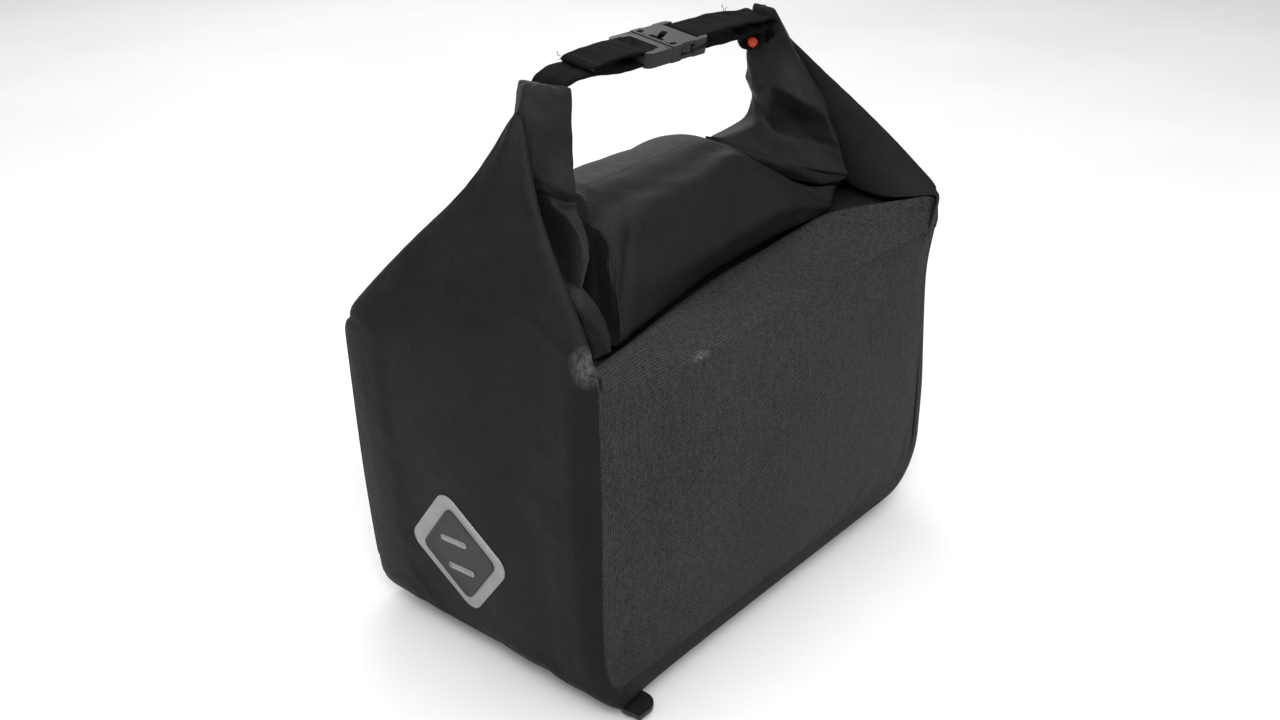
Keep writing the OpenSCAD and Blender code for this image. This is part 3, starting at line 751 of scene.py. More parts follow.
# ------------------------------------------------------------------ the roll and its upright ends
# Eight lines run along the roll, from inside its left end to inside its right end: position along, x, y, z.
LINES = dict(
    inner=[(.20, 82, 104, 256), (.24, 88, 102, 263), (.30, 100, 100, 266), (.38, 125, 100, 267), (.5, 175, 100, 268), (.58, 208, 102, 268), (.62, 224, 101, 263),
           (.66, 243, 95, 250), (.71, 262, 84, 235), (.77, 280, 64, 217)],
    inner_front=[(.20, 70, 72, 248), (.24, 68, 57, 251), (.30, 92, 62, 256), (.38, 125, 62, 259), (.5, 175, 64, 261), (.58, 205, 70, 264), (.62, 219, 63, 257.5),
                 (.66, 236, 57, 246), (.71, 257, 52, 233), (.77, 277, 46, 220.5)],
    crease=[(.20, 62, 62, 233), (.24, 54.5, 44, 233), (.30, 66, 38, 233.5), (.38, 118, 37, 232), (.5, 175, 42, 232), (.62, 226, 44, 232), (.66, 245, 45, 227),
            (.71, 263, 45, 221), (.77, 277.5, 45.5, 219)],
    outer_front=[(.20, 50, 50, 214), (.24, 40.5, 28.5, 210.5), (.30, 52, 27.5, 210), (.38, 114, 43, 208.5), (.5, 175, 52, 209), (.62, 230, 51.5, 212), (.66, 248, 49.5, 213.5),
                 (.71, 265, 49, 213), (.77, 278.5, 50, 214)],
    outer=[(.20, 56, 100, 224), (.24, 52, 100, 218), (.30, 60, 100, 212), (.38, 110, 100, 206), (.5, 175, 100, 206), (.62, 230, 100, 206), (.71, 264, 100, 206), (.77, 280, 84, 208)],
    outer_back=[(.20, 60, 158, 222), (.24, 56, 166, 216), (.30, 62, 168, 213), (.38, 112, 164, 211), (.5, 175, 155, 211), (.62, 232, 154, 211), (.71, 266, 146, 211), (.77, 284, 108, 210)],
    back=[(.20, 66, 158, 240), (.24, 64, 164, 238), (.30, 72, 164, 238), (.38, 116, 164, 233), (.5, 175, 158, 233), (.62, 226, 155, 232), (.71, 262, 140, 226), (.77, 283, 104, 214)],
    inner_back=[(.20, 80, 134, 256), (.24, 86, 140, 259), (.30, 100, 142, 259), (.38, 125, 143, 259), (.5, 175, 141, 260), (.62, 226, 138, 258), (.71, 261, 120, 238), (.77, 282, 88, 217)])


def around(ring, n, sharp):
    """Closed smooth curve through the ring's points; extra points tighten it at the two creases."""
    k = len(ring)
    pts = []
    for i, p in enumerate(ring):
        q, r = ring[i - 1], ring[(i + 1) % k]
        s = sharp.get(i, 0)
        if s:
            pts += [p + (q - p) * s, p, p + (r - p) * s]
        else:
            pts.append(p)
    pts = np.array(pts)
    m = len(pts)
    out = []
    for i in range(m):
        a, b, c, d = pts[i - 1], pts[i], pts[(i + 1) % m], pts[(i + 2) % m]
        # centripetal spacing keeps tight corners from overshooting
        t0, t1 = 0.0, max(np.linalg.norm(b - a), 1e-6) ** 0.5
        t2 = t1 + max(np.linalg.norm(c - b), 1e-6) ** 0.5
        t3 = t2 + max(np.linalg.norm(d - c), 1e-6) ** 0.5
        for u in np.linspace(0, 1, 10, endpoint=False):
            t = t1 + (t2 - t1) * u
            A1 = (t1 - t) / (t1 - t0) * a + (t - t0) / (t1 - t0) * b
            A2 = (t2 - t) / (t2 - t1) * b + (t - t1) / (t2 - t1) * c
            A3 = (t3 - t) / (t3 - t2) * c + (t - t2) / (t3 - t2) * d
            B1 = (t2 - t) / (t2 - t0) * A1 + (t - t0) / (t2 - t0) * A2
            B2 = (t3 - t) / (t3 - t1) * A2 + (t - t1) / (t3 - t1) * A3
            out.append((t2 - t) / (t2 - t1) * B1 + (t - t1) / (t2 - t1) * B2)
    out = np.array(out + [out[0]])
    s = np.concatenate([[0], np.cumsum(np.linalg.norm(np.diff(out, axis=0), axis=1))])
    w = np.linspace(0, s[-1], n, endpoint=False)
    return np.stack([np.interp(w, s, out[:, k]) for k in range(3)], 1)


def line_at(keys, T):
    """Catmull-Rom through keys with their own spacing."""
    k = np.array(keys, float)
    x, y = k[:, 0], k[:, 1:]
    m = np.gradient(y, x, axis=0)
    i = np.clip(np.searchsorted(x, T, side="right") - 1, 0, len(x) - 2)
    h = (x[i + 1] - x[i])[:, None]
    u = ((T - x[i]) / (x[i + 1] - x[i]))[:, None]
    return (y[i] * (2 * u**3 - 3 * u**2 + 1) + m[i] * h * (u**3 - 2 * u**2 + u) + y[i + 1] * (-2 * u**3 + 3 * u**2) + m[i + 1] * h * (u**3 - u**2))


def roll():
    names = ["inner", "inner_front", "crease", "outer_front", "outer", "outer_back", "back", "inner_back"]
    n, m = 190, 84
    T = np.linspace(0.20, 0.77, n)
    L = np.array([line_at(LINES[k], T) for k in names])         # 8, n, 3
    rings = []
    for j in range(n):
        left, right = smoothstep(0.31, 0.25, T[j]), smoothstep(0.58, 0.66, T[j])
        rings.append(around(L[:, j], m, {1: 0.46 - 0.38 * right, 2: 0.42 - 0.34 * left - 0.1 * right, 6: 0.42 - 0.2 * right}))
    P = np.array(rings)
    # the crease line stays on one row of points: turn each ring so that point 0 is nearest the inner line
    for j in range(n):
        k = int(np.argmin(np.linalg.norm(P[j] - L[0, j], axis=1)))
        P[j] = np.roll(P[j], -k, axis=0)
    t = T[:, None]
    a = np.arange(m)[None, :] / m
    C = P.mean(1, keepdims=True)
    N = P - C
    N = N / np.maximum(np.linalg.norm(N, axis=2, keepdims=True), 1e-6)
    # soft folds that fan out of both ends, and a slack line along the roll
    def fan(c, w, f, amp, seed):
        return amp * np.exp(-((t - c) / w) ** 2) * np.sin(2 * np.pi * (a * f + 1.7 * (t - c) / w * 0.35) + seed)
    d = fan(.29, .03, 4, 0.8, 0.4) + fan(.64, .04, 6, 0.6, 1.3)
    d = d + 0.5 * wavy(t * 420, a * 300, 21, 120) + 0.28 * wavy(t * 420, a * 300, 22, 34)
    d = d - 1.8 * np.exp(-((a - 0.115 - 0.05 * t) / 0.02) ** 2) * smoothstep(.3, .42, t) * smoothstep(.72, .6, t) * 0.5
    P = P + N * d[..., None]
    ob = settle(grid("rolled_mouth", row(P), closed_u=True, caps=True), pins(n, m, 3, 3, 0, 0, 10), pressure=1.5, grow=0.010, cap=1.6)
    return ob, P


rol, rolP = roll()
dress(rol, ROLLCLOTH, replaces=["roll_top"], sub=1)


def facets(name, rows, material, sharp=(), hard=(), nu=7, nv=7, relax=8, wave=0.5, seed=1, hem=0.0, slack=0.0):
    """Closed fold of stiff cloth. rows: rings of guide points (corner frame). The flats between them meet in rounded creases,
    tighter on the columns in `sharp` and the rings in `hard`."""
    R = np.array(rows, float)
    nr, k = R.shape[:2]
    u = np.arange(k * nu) / nu
    i0 = u.astype(int)
    fu = (u - i0)[:, None]
    ringed = R[:, i0] * (1 - fu) + R[:, (i0 + 1) % k] * fu
    v = np.linspace(0, nr - 1, (nr - 1) * nv + 1)
    j0 = np.minimum(v.astype(int), nr - 2)
    fv = (v - j0)[:, None, None]
    P = ringed[j0] * (1 - fv) + ringed[j0 + 1] * fv
    hold = np.zeros(P.shape[:2])
    for c in sharp:
        hold[:, (c % k) * nu] = 0.93
    for r in hard:
        hold[r * nv] = 0.93
    hold[0] = hold[-1] = 1
    for _ in range(relax):
        Q = np.concatenate([P[:1], P, P[-1:]])
        A = 0.25 * (np.roll(P, 1, 1) + np.roll(P, -1, 1) + Q[:-2] + Q[2:])
        P = P * hold[..., None] + A * (1 - hold[..., None])
    C = P.mean(1, keepdims=True)
    N = (P - C) / np.maximum(np.linalg.norm(P - C, axis=2, keepdims=True), 1e-6)
    a = np.arange(P.shape[1])[None, :] * 3.0
    t = np.arange(P.shape[0])[:, None] * 3.0
    P = P + N * (wave * (wavy(a, t, seed, 46) + 0.5 * wavy(a, t, seed + 50, 17)))[..., None]
    if hem:
        P[..., 2] += hem * (np.sin(a * 0.21 + seed) + 0.6 * np.sin(a * 0.5)) * np.exp(-(t / 6) ** 2)
    ob = grid(name, row(P), closed_u=True, caps=True)
    if slack:
        w = pins(P.shape[0], P.shape[1], 2, 2, 0, 0, 4)
        settle(ob, np.maximum(w, np.clip(hold / 0.93, 0, 1) * 0.9), pressure=1.0, grow=slack, cap=1.3)
    return dress(ob, material, sub=1)


# left end: an upright tent whose front face looks half left. Ring: valley side, face, face, front crease, inner side, back crease, back face
facets("left_end", [
    [(49, 100, 340), (54.6, 93, 338.5), (60.9, 86, 336.8), (66.2, 79, 335.8), (70, 100, 333), (67, 121, 334), (56, 112, 333)],
    [(41.5, 100, 324), (46.1, 93, 322), (56.4, 86, 319.8), (65.7, 79, 318), (71, 100, 318), (68, 122, 318), (54, 114, 316)],
    [(42.1, 100, 298), (45.5, 92, 298), (55.4, 86, 295.6), (65.3, 79, 293.4), (72, 100, 297), (68, 125, 298), (52, 117, 297)],
    [(52, 104, 278), (47.5, 88, 283.5), (54, 80, 280.8), (64.2, 77, 278.5), (74, 100, 284), (68, 130, 285), (50, 122, 284)],
    [(57, 106, 270), (50.5, 86, 276), (62, 85.5, 270.8), (67, 80.5, 270.6), (76, 100, 279), (68, 133, 281), (49, 124, 280)],
    [(60, 105, 263), (52.2, 82, 269.8), (54, 75, 270.6), (59.4, 72, 269.7), (77, 99, 274), (67, 137, 277), (47, 127, 276)],
    [(64, 102, 251), (52, 75.6, 258.6), (52.5, 66, 259.3), (59.1, 64, 257.8), (79, 98, 264), (65, 143, 268), (43, 134, 264)],
    [(64, 96, 239), (48.4, 67.6, 247.8), (48.8, 60, 248.5), (52.7, 57, 248.1), (77, 96, 254), (62, 148, 258), (40, 140, 254)],
    [(58, 86, 232), (42.6, 61, 240.6), (41.1, 54, 242.1), (42.9, 52, 242), (73, 94, 246), (59, 152, 250), (36, 146, 246)],
    [(50, 76, 225), (36.6, 56.6, 233.6), (36, 51.5, 235.5), (37.5, 50, 236), (69, 92, 238), (57, 155, 241), (33, 150, 236)],
    [(38, 72, 222), (42, 62, 224), (45, 58, 225), (48, 57, 226), (66, 90, 226), (55, 156, 228), (33, 150, 224)]],
    LIT_END_CLOTH, sharp=(3, 5), nu=6, nv=6, relax=6, wave=0.7, seed=3, hem=1.1, slack=0.012)
# the tucked lobe below it, between the ear and the roll. Ring: hidden left side, middle, right rim, back right, back left
facets("left_tuck", [
    [(31.3, 56, 238), (34, 52, 239), (37, 48.5, 237.6), (46, 60, 236), (38, 66, 237)],
    [(27.8, 50, 234.5), (32.4, 45.5, 235.6), (39.7, 45, 232.5), (48, 58, 231), (38, 64, 232)],
    [(27.2, 46, 227.4), (32.6, 41, 229.2), (41.8, 40.5, 225.7), (49, 54, 225), (38, 60, 226)],
    [(28.5, 43, 218.5), (34.5, 37.5, 220.6), (42.2, 36, 218.3), (49, 50, 217), (38, 56, 216)],
    [(30.5, 40, 208.5), (36.2, 35, 211.8), (40.6, 32, 211.5), (48, 46, 208), (38, 52, 206)],
    [(31.5, 37, 200), (36.3, 33, 203), (38.6, 30, 205), (46, 44, 200), (38, 50, 198)]],
    LIT_END_CLOTH, sharp=(2,), hard=(1,), nu=7, nv=6, relax=5, wave=0.3, seed=9)
# right end: ring is left silhouette, dent ridge, middle, front crease, outer front, outer back, back, back left
facets("right_end", [
    [(268.7, 108, 344), (268.3, 101, 344), (269, 96, 342.8), (269, 92, 341.5), (275, 95, 340), (279, 103, 341), (278, 110, 342), (273, 112, 343)],
    [(268.9, 112, 315), (269.6, 103, 316), (271, 90, 316.5), (271.9, 79, 319.4), (283, 84, 316), (290, 100, 315), (287, 116, 314), (277, 120, 314)],
    [(268, 108.6, 291.3), (262.2, 85.8, 293.8), (266.2, 65.2, 286.9), (283.1, 61, 281.1), (296, 68, 284), (303, 98, 287), (296, 120, 289), (280, 122, 291)],
    [(280, 112, 277.5), (270.6, 92.7, 280.2), (285.5, 79, 267), (287, 58.6, 271.4), (301, 66, 270), (309, 98, 272), (301, 124, 276), (288, 122, 278)],
    [(273.1, 104, 266.5), (279, 94, 259.2), (284.4, 77.6, 251.8), (295.5, 53, 250.8), (307, 62, 252), (316, 98, 254), (305, 130, 256), (284, 124, 262)],
    [(239.9, 112, 260.5), (256.3, 92, 250.4), (272.9, 72, 241.5), (300, 48.7, 233.4), (311, 58, 234), (320, 98, 236), (302, 140, 240), (262, 136, 252)],
    [(246, 116, 252), (262, 97, 242), (278, 78, 233), (300.5, 55, 226), (309, 62, 226), (318, 98, 226), (300, 140, 230), (262, 138, 242)],
    [(252, 118, 238), (266, 98, 228), (282, 80, 220), (300, 62, 214), (306, 66, 214), (312, 98, 212), (298, 136, 212), (264, 136, 222)]],
    LIT_END_CLOTH, sharp=(3,), hard=(2, 5), nu=7, nv=7, relax=4, wave=0.4, seed=14, hem=1.0, slack=0.010)
# the pleat band that comes out from under it. Ring: ridge, face, low edge, underside, back
facets("right_pleat", [
    [(224, 112, 266), (224, 111, 264.6), (224, 110, 263), (230, 114, 256), (234, 116, 257)],
    [(235.9, 109, 262.9), (234.6, 106.5, 260), (233, 105, 256), (243, 112, 248), (246, 114, 250)],
    [(241.9, 98, 259), (239.5, 96.5, 255.6), (237.6, 98, 249), (248, 106, 242), (251, 106, 247)],
    [(248.2, 88, 254.9), (246.2, 85.2, 250.8), (246.8, 85, 243.6), (257, 96, 238), (258, 99, 248)],
    [(256.3, 76, 250.2), (254, 74.2, 246), (255.6, 75.5, 238.4), (266, 86, 233), (266, 87, 243)],
    [(261.1, 65, 247), (261.5, 64.5, 241.5), (264.8, 65, 234.4), (276, 76, 229), (272, 77, 240)],
    [(277.8, 57, 239), (275.6, 55, 235.4), (277.6, 54.5, 231.4), (288, 66, 227), (288, 68, 233)],
    [(300, 48.4, 232.8), (297, 48.2, 232.4), (294, 48.8, 231), (300, 58, 226), (304, 58, 228)]],
    ROLLCLOTH, sharp=(0, 2), nu=5, nv=7, relax=3, wave=0.25, seed=23)
# and the smaller fold under the band
facets("right_pleat_low", [
    [(228, 110, 257), (228, 109, 255), (228, 108, 252), (236, 112, 247), (238, 113, 250)],
    [(240.5, 101, 248), (240.6, 99.6, 245.4), (241.6, 100, 242.2), (251, 110, 237), (252, 110, 242)],
    [(250, 88, 241.6), (249.4, 86.6, 239.6), (250.3, 87.2, 236.4), (260, 97, 231), (260, 97, 236)],
    [(257.8, 73.6, 237.2), (256, 72.4, 235.4), (256, 73, 232.4), (266, 84, 227), (268, 84, 232)],
    [(270, 58, 231), (266, 57, 230.4), (264.4, 57, 227.6), (274, 68, 222), (278, 68, 226)],
    [(288, 49.6, 229.6), (282, 47.2, 225), (277.6, 45.6, 219.6), (286, 56, 214), (294, 58, 222)]],
    ROLLCLOTH, sharp=(0, 2), nu=5, nv=7, relax=3, wave=0.2, seed=27)


# cloth that closes the body under the roll
def mouth_base():
    xs, ys = np.linspace(2, 338, 60), np.linspace(8, 192, 36)
    X, Y = np.meshgrid(xs, ys)
    Z = 203 - 7 * (np.abs(Y - 100) / 92) ** 2 + 1.2 * wavy(X, Y, 31, 90) + 8 * smoothstep(36, 12, X)
    Z = Z + smoothstep(120, 60, Y) * smoothstep(10, 34, Y) * 15 * smoothstep(236, 300, X) + 17 * smoothstep(282, 316, X) * smoothstep(60, 100, Y) * smoothstep(160, 120, Y)
    P = np.stack([X, Y, Z], -1)
    return dress(grid("mouth_base", row(P)), COATED, thick=1.0)


mouth_base()


def board(name, y, node):
    """Stiff sheet inside the bag, behind a panel."""
    out = []
    for cx, cz, r, a0 in ((312, 186, 6, 0), (16, 180, 6, 90), (16, 14, 8, 180), (290, 36, 28, 270)):
        for a in np.linspace(a0, a0 + 90, 10):
            out.append((cx + r * math.cos(math.radians(a)), cz + r * math.sin(math.radians(a))))
    n = len(out)
    V = [tuple(row((px, yy, pz)) * MM) for yy in (y, y + 1.5) for px, pz in out]
    F = [tuple(range(n)), tuple(range(2 * n - 1, n - 1, -1))] + [(k, k + n, (k + 1) % n + n, (k + 1) % n) for k in range(n)]
    ob = new_object(name, V, F, [(v[0], v[2]) for v in V], smooth=False)
    dress(ob, BOARD, replaces=[node])


board("front_board", 3.0, "front_stiffener")
board("back_board", 194.0, "back_stiffener")

# ------------------------------------------------------------------ webbing
def ribbon(name, path, width, thick, y0=0.0, tilt=8.0, zc=342.0, crumple=((0, 0.3), (1, 0.3)), narrow=((0, 1), (1, 1)), seed=5):
    """Flat strap along a path in x and z (row frame, mm), leaning with the handle."""
    C = curve(path, max(24, int(sum(np.linalg.norm(np.diff(np.array(path, float), axis=0), axis=1)) / 1.6)))
    n = len(C)
    T = np.gradient(C, axis=0)
    T /= np.linalg.norm(T, axis=1)[:, None]
    N = np.stack([-T[:, 1], T[:, 0]], 1)
    prof = []
    h, w, r = thick / 2, width / 2, thick * 0.45
    k = 10
    for i in range(k + 1):
        prof.append((-w + r + (2 * w - 2 * r) * i / k, h))
    prof.append((w, 0.0))
    for i in range(k + 1):
        prof.append((w - r - (2 * w - 2 * r) * i / k, -h))
    prof.append((-w, 0.0))
    prof = np.array(prof)
    rows = []
    S = np.concatenate([[0], np.cumsum(np.linalg.norm(np.diff(C, axis=0), axis=1))])
    ct, stt = math.cos(math.radians(tilt)), math.sin(math.radians(tilt))
    amp, nar = spline(crumple, S / S[-1]), spline(narrow, S / S[-1])
    for i in range(n):
        ease = prof[:, 1] + amp[i] * wavy(np.full(len(prof), S[i]), prof[:, 0], seed, 17) - 0.5 * amp[i] * (prof[:, 0] / w) ** 2
        x = C[i, 0] + N[i, 0] * ease
        z = C[i, 1] + N[i, 1] * ease
        y = y0 + prof[:, 0] * nar[i]
        zz = zc + (z - zc) * ct + y * stt
        yy = y * ct - (z - zc) * stt
        rows.append(np.stack([x, yy, zz], 1))
    uv = np.stack(np.meshgrid(np.concatenate([[0], np.cumsum(np.linalg.norm(np.diff(prof, axis=0), axis=1))]), S), -1)
    ob = grid(name, np.array(rows), uv=uv, closed_u=True, caps=True)
    return ob


left_path = [(-114, 318), (-113.5, 326), (-111, 333), (-106, 338.4), (-99, 341.2), (-90, 342.0), (-80, 341.3), (-68, 339.6), (-54, 338.4), (-40, 338.3), (-37, 339.4), (-36, 342),
             (-37, 344.6), (-40, 345.8), (-54, 346.7), (-68, 346.2), (-80, 345.0), (-83.4, 344.4), (-84.0, 343.6), (-82.6, 343.0), (-76, 343.2), (-70, 343.8)]
wl = ribbon("webbing_left_strap", left_path, 25, 1.7, crumple=((0, 0.9), (0.2, 0.7), (0.45, 0.25), (0.6, 0.1), (0.7, 0.3), (1, 0.3)), narrow=((0, 0.8), (0.2, 0.96), (0.4, 1), (1, 1)))
dress(wl, WEBBING, body=None, replaces=["webbing_left", "webbing_loop"])
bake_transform(wl)
right_path = [(100, 322), (99.8, 330), (98, 336.4), (92, 340.6), (82, 342.8), (66, 344.3), (50, 345.3), (20, 345.9), (11, 345.7), (9.2, 344.8), (8.4, 342), (9.2, 339.2), (11, 338.3), (30, 338.0),
              (52, 337.2), (70, 337.4), (82, 337.6), (90, 335.8), (95, 332), (97, 324)]
wr = ribbon("webbing_right_strap", right_path, 25, 1.6, crumple=((0, 1.2), (0.15, 1.1), (0.35, 0.5), (0.5, 0.1), (0.6, 0.3), (0.85, 1.1), (1, 1.3)), narrow=((0, 0.72), (0.14, 0.86), (0.3, 1), (0.75, 1), (0.9, 0.85), (1, 0.7)), seed=8)
dress(wr, WEBBING, replaces=["webbing_right"])


def stub(name, centre, axis, radii, material, replaces, n=22):
    """Turned piece. radii: (distance along the axis, radius), mm, row frame."""
    c, ax = np.array(centre, float), np.array(axis, float)
    ax /= np.linalg.norm(ax)
    u = np.cross(ax, (0, 0, 1.0))
    u /= np.linalg.norm(u)
    v = np.cross(u, ax)
    rows = []
    for d, r in radii:
        a = np.linspace(0, 2 * math.pi, n, endpoint=False)[:, None]
        w = 1 + 0.05 * np.sin(3 * a + d)
        rows.append(c + ax * d + (u * np.cos(a) + v * np.sin(a)) * r * w)
    return dress(grid(name, np.array(rows), closed_u=True, caps=True), material, replaces=replaces, sub=1)


tip_axis = (-0.55, -0.83, 0.12)
stub("rod_sleeve", (91.2, 10.4, 323.9), tip_axis, [(-7, 4.2), (-6, 5.4), (-2, 6.2), (2.4, 6.2), (4.4, 5.8), (5.2, 4.9), (5.0, 4.1), (3.4, 3.8)], WEBBING, ["hem_sleeve"])
stub("rod_tip", (92.6, 9.6, 323.2), tip_axis, [(-5, 3.4), (4.2, 3.6), (5.4, 3.5), (6.1, 2.9), (6.5, 1.5), (6.6, 0.4)], ORANGE, ["hem_rod"])

# ------------------------------------------------------------------ light patch and its clip tab
def left_face_x(y, z):
    """Outer surface of the left face (corner frame) where a ray from the left meets the finished gusset."""
    out = []
    for yy, zz in zip(np.ravel(y), np.ravel(z)):
        o = row((-60, yy, zz)) * MM
        hit = GUS_TREE.ray_cast(Vector(o), Vector((1, 0, 0)))
        out.append(hit[0].x * 1000 + 175)
    return np.array(out).reshape(np.shape(y))


def rounded(l, w, r, n):
    """Points of a rounded rectangle, anticlockwise."""
    pts = []
    for cx, cy, a0 in ((l / 2 - r, w / 2 - r, 0), (-l / 2 + r, w / 2 - r, 90), (-l / 2 + r, -w / 2 + r, 180), (l / 2 - r, -w / 2 + r, 270)):
        for a in np.linspace(a0, a0 + 90, n):
            pts.append((cx + r * math.cos(math.radians(a)), cy + r * math.sin(math.radians(a))))
    return np.array(pts)


def turned(p, deg, c):
    a = math.radians(deg)
    return np.stack([p[:, 0] * math.cos(a) - p[:, 1] * math.sin(a) + c[0], p[:, 0] * math.sin(a) + p[:, 1] * math.cos(a) + c[1]], 1)


def plaque(name, loops, material, body="bag", replaces=()):
    """Plate on the left face. loops: (outline in y and z of the row frame, height above the cloth in mm), from rim to centre."""
    verts, faces, uvs = [], [], []
    n = len(loops[0][0])
    for pts, hgt in loops:
        y, z = pts[:, 0] + 100, pts[:, 1] - 4
        x = left_face_x(y, z) - hgt
        for k in range(n):
            verts.append(((x[k] - 175) * MM, pts[k, 0] * MM, pts[k, 1] * MM))
            uvs.append((pts[k, 0] * MM, pts[k, 1] * MM))
    for j in range(len(loops) - 1):
        for k in range(n):
            a, b = j * n + k, j * n + (k + 1) % n
            faces.append((a, b, b + n, a + n))
    faces.append(tuple(range((len(loops) - 1) * n, len(loops) * n)))
    faces.append(tuple(range(n))[::-1])
    ob = new_object(name, verts, [f[::-1] for f in faces], uvs)
    return dress(ob, material, body=body, replaces=replaces)


PC, TC = (15.2, 66.1), (14.0, 65.9)
pl = lambda l, w, r: turned(rounded(l, w, r, 9), 37.5, PC)
plaque("reflective_badge", [(pl(63, 60, 10), -0.8), (pl(63, 60, 10), 0.75), (pl(62, 59, 9.6), 1.0), (pl(50, 47, 7), 1.02), (pl(26, 24, 3), 1.02), (pl(8, 8, 1), 1.02)], FILM, replaces=["reflective_patch"])


def clip_tab():
    c = TC
    t = lambda l, w, r: turned(rounded(l, w, r, 9), 37, c)
    tab = plaque("clip_tab", [(t(45.5, 46, 5), 0.6), (t(45.5, 46, 5), 2.4), (t(44.3, 44.8, 4.6), 2.9), (t(41.8, 42.2, 3.8), 2.9), (t(40.8, 41.2, 3.2), 2.2), (t(30, 30, 2), 2.25),
                              (t(14, 14, 1.5), 2.3), (t(4, 4, 0.6), 2.3)], RUBBER, replaces=["light_clip_tab"])
    for k, cc in enumerate(((17.1, 74.1), (13.1, 55.1))):
        s = turned(rounded(21.0, 2.9, 1.4, 7), -6, cc)
        o = turned(rounded(23.0, 4.3, 2.1, 7), -6, cc)
        plaque("slot_rim_%d" % k, [(o, 1.9), (o, 2.5), (o * 0.3 + s * 0.7, 2.75), (s, 2.5), (s, 2.42)], FILM)
    return tab


clip_tab()


# ------------------------------------------------------------------ buckle with its windows, slots and eased edges
def lean(P):
    """Strap frame (x along, y across, z up from the strap's centre, mm) to the row frame in metres."""
    P = np.asarray(P, float)
    ct, st_ = math.cos(math.radians(8)), math.sin(math.radians(8))
    return np.stack([P[:, 0], P[:, 1] * ct - P[:, 2] * st_, 342 + P[:, 2] * ct + P[:, 1] * st_], 1) * MM


def prism(pts, lo, hi, axis="z"):
    """Cutter: outline extruded between lo and hi. axis z: outline in x and y; axis y: outline in x and z."""
    n = len(pts)
    ring = lambda h: [(p[0], p[1], h) if axis == "z" else (p[0], h, p[1]) for p in pts]
    V = lean(ring(lo) + ring(hi))
    F = [tuple(range(n))[::-1], tuple(range(n, 2 * n))] + [(k, (k + 1) % n, (k + 1) % n + n, k + n) for k in range(n)]
    me = bpy.data.meshes.new("cut")
    me.from_pydata([tuple(v) for v in V], [], F if axis == "z" else [f[::-1] for f in F])
    ob = bpy.data.objects.new("cut", me)
    SC.collection.objects.link(ob)
    return ob


def carve(node, name, cuts, body, width=0.6, mat=None):
    src = NODES[node]
    ob = bpy.data.objects.new(name, src.data.copy())
    SC.collection.objects.link(ob)
    ob.matrix_world = src.matrix_world.copy()
    for c in cuts:
        modifier(ob, "BOOLEAN", operation="DIFFERENCE", solver="EXACT", object=c)
    bpy.context.view_layer.update()
    apply_all(ob)
    for c in cuts:
        bpy.data.objects.remove(c)
    ob.data.polygons.foreach_set("use_smooth", [True] * len(ob.data.polygons))
    modifier(ob, "BEVEL", width=width * MM, segments=2, limit_method="ANGLE", angle_limit=math.radians(38))
    modifier(ob, "WEIGHTED_NORMAL", keep_sharp=True)
    return dress(ob, mat or BUCKLE, body=body, replaces=[node])


pill = lambda l, w, r, deg, c: turned(rounded(l, w, r, 6), deg, c)
carve("buckle_female", "buckle_socket", [
    prism(pill(13, 4.0, 1.9, 24, (-8.5, 1.5)), 2.0, 8),
    prism(pill(5.5, 3.2, 1.2, 0, (-15.5, 12.4)), 3.6, 8),
    prism(pill(5.5, 3.2, 1.2, 0, (-15.5, -12.4)), 3.6, 8),
    prism(pill(3.0, 6.5, 1.2, 0, (13.0, -8.6)), 3.4, 8),
    prism(pill(3.0, 6.5, 1.2, 0, (13.0, 8.6)), 3.4, 8),
    prism(turned(rounded(15, 9, 4.2, 8), 0, (-5.5, -20.0)), -8, 8),
    prism(turned(rounded(15, 9, 4.2, 8), 0, (-5.5, 20.0)), -8, 8),
    prism(turned(rounded(0.7, 23, 0.3, 2), 0, (-17.6, 0)), 4.5, 8),
    prism(turned(rounded(12, 3.0, 1.4, 6), 0, (6.5, 0)), -19, -14.9, "y")], "bag")
carve("buckle_male", "buckle_plug_frame", [
    prism(turned(rounded(9.0, 23.5, 2.5, 6), 0, (-31.0, 0)), -8, 8),
    prism(pill(0.8, 3.2, 0.3, 0, (-23.4, 14.6)), 4.0, 8),
    prism(pill(0.8, 3.2, 0.3, 0, (-23.4, -14.6)), 4.0, 8)], "buckle_plug", 0.9)
carve("prong_front", "prong_arm_front", [], "front_prong", 0.5)
carve("prong_back", "prong_arm_back", [], "back_prong", 0.5)


def fibres(name, paths, r, blend=False):
    """Loose thread ends and stitches: thin tubes through points in the strap frame."""
    verts, faces, uvs = [], [], []
    for p in paths:
        C = lean(curve(p, max(5, 3 * len(p))))
        T = np.gradient(C, axis=0)
        T /= np.maximum(np.linalg.norm(T, axis=1)[:, None], 1e-9)
        base = len(verts)
        m = 5
        for i in range(len(C)):
            u = np.cross(T[i], (0.31, 0.17, 0.93))
            u /= np.linalg.norm(u)
            v = np.cross(T[i], u)
            for k in range(m):
                a = 2 * math.pi * k / m
                verts.append(C[i] + (u * math.cos(a) + v * math.sin(a)) * r * MM)
                uvs.append((k * 0.0003, i * 0.001))
        for i in range(len(C) - 1):
            for k in range(m):
                q, w_ = base + i * m + k, base + i * m + (k + 1) % m
                faces.append((q, w_, w_ + m, q + m))
        faces.append(tuple(base + k for k in range(m))[::-1])
        faces.append(tuple(base + (len(C) - 1) * m + k for k in range(m)))
    ob = new_object(name, verts, faces, uvs)
    dress(ob, THREAD, body=None if blend else "bag")
    if blend:
        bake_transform(ob)
    return ob


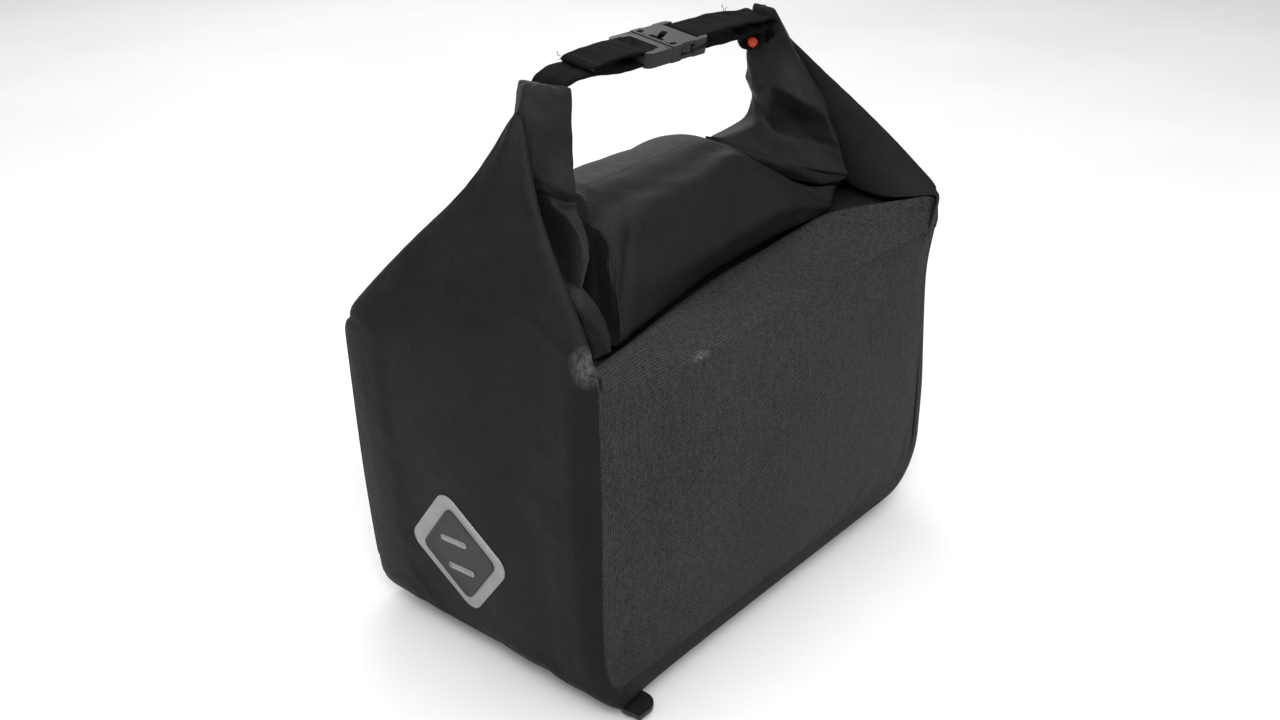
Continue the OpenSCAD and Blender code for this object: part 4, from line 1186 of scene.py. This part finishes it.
tail = [[(-83.6, 12.6, 3.0), (-85.0, 13.6, 3.8), (-85.2, 14.2, 5.6)], [(-83.6, -12.4, 2.4), (-85.2, -13.4, 2.8), (-86.4, -13.2, 4.0)], [(-83.8, 11.5, 2.6), (-86, 12.0, 1.6)]]
for k in range(9):
    y = -10.8 + k * 2.7
    tail.append([(-78.6, y - 0.8, 4.05), (-78.6, y, 4.35), (-78.6, y + 0.8, 4.05)])
fibres("tail_threads", tail, 0.22, blend=True)
fibres("strap_threads", [[(66, 12.2, 3.1), (66.8, 13.4, 4.4), (66.2, 14.4, 5.6), (67.4, 14.6, 6.2)], [(67, 12.0, 3.0), (69, 13.2, 3.6), (70.4, 13.4, 4.6)]], 0.22)


# CAD pieces that show as they are
for nme, mat in (("coupling_plate", BLACK), ("runner_rail_front", ALU),
                 ("runner_rail_back", ALU), ("rail_rivets", ALU), ("release_lever", BLACK), ("lever_pivot_pin", STEEL), ("lever_spring", STEEL),
                 ("plate_screws", STEEL), ("plate_washers", STEEL), ("plate_nuts", STEEL),
                 ("floor_board", BOARD), ("mouth_stiffener", BOARD)):
    NODES[nme].data.materials.clear()
    NODES[nme].data.materials.append(mat)


# ------------------------------------------------------------------ floor, light
def stage():
    me = bpy.data.meshes.new("floor")
    z = -0.0101
    me.from_pydata([(-6, -6, z), (6, -6, z), (6, 6, z), (-6, 6, z)], [], [(0, 1, 2, 3)])
    fl = bpy.data.objects.new("floor", me)
    SC.collection.objects.link(fl)
    n = Net("pale_floor")
    n.set(color=n.ramp(n.noise(n.obj(), 3, 3), [(0.3, (0.68, 0.68, 0.68)), (0.7, (0.72, 0.72, 0.72))]), rough=0.8, spec=0.2)
    me.materials.append(n.m)
    w = bpy.data.worlds.new("world")
    w.use_nodes = True
    w.node_tree.nodes["Background"].inputs[0].default_value = (1, 1, 1, 1)
    w.node_tree.nodes["Background"].inputs[1].default_value = 0.60
    SC.world = w

    def area(name, loc, target, size, power):
        d = bpy.data.lights.new(name, "AREA")
        d.shape = "RECTANGLE"
        d.size, d.size_y = size
        d.energy = power
        o = bpy.data.objects.new(name, d)
        SC.collection.objects.link(o)
        o.location = loc
        o.rotation_mode = "QUATERNION"
        o.rotation_quaternion = (Vector(target) - Vector(loc)).to_track_quat("-Z", "Y")
    area("key", (-1.25, -1.15, 1.75), (0, 0, 0.18), (1.1, 1.0), 42)
    area("left", (-1.9, 0.1, 0.9), (0, 0, 0.15), (1.0, 1.2), 4)
    area("front", (0.3, -1.8, 1.2), (0, 0, 0.15), (1.0, 1.0), 8)
    area("top", (0.1, 0.2, 2.0), (0, 0, 0.2), (1.6, 1.2), 21)
    area("rim", (1.2, 1.5, 1.3), (0, 0, 0.2), (1.0, 1.0), 12)


stage()
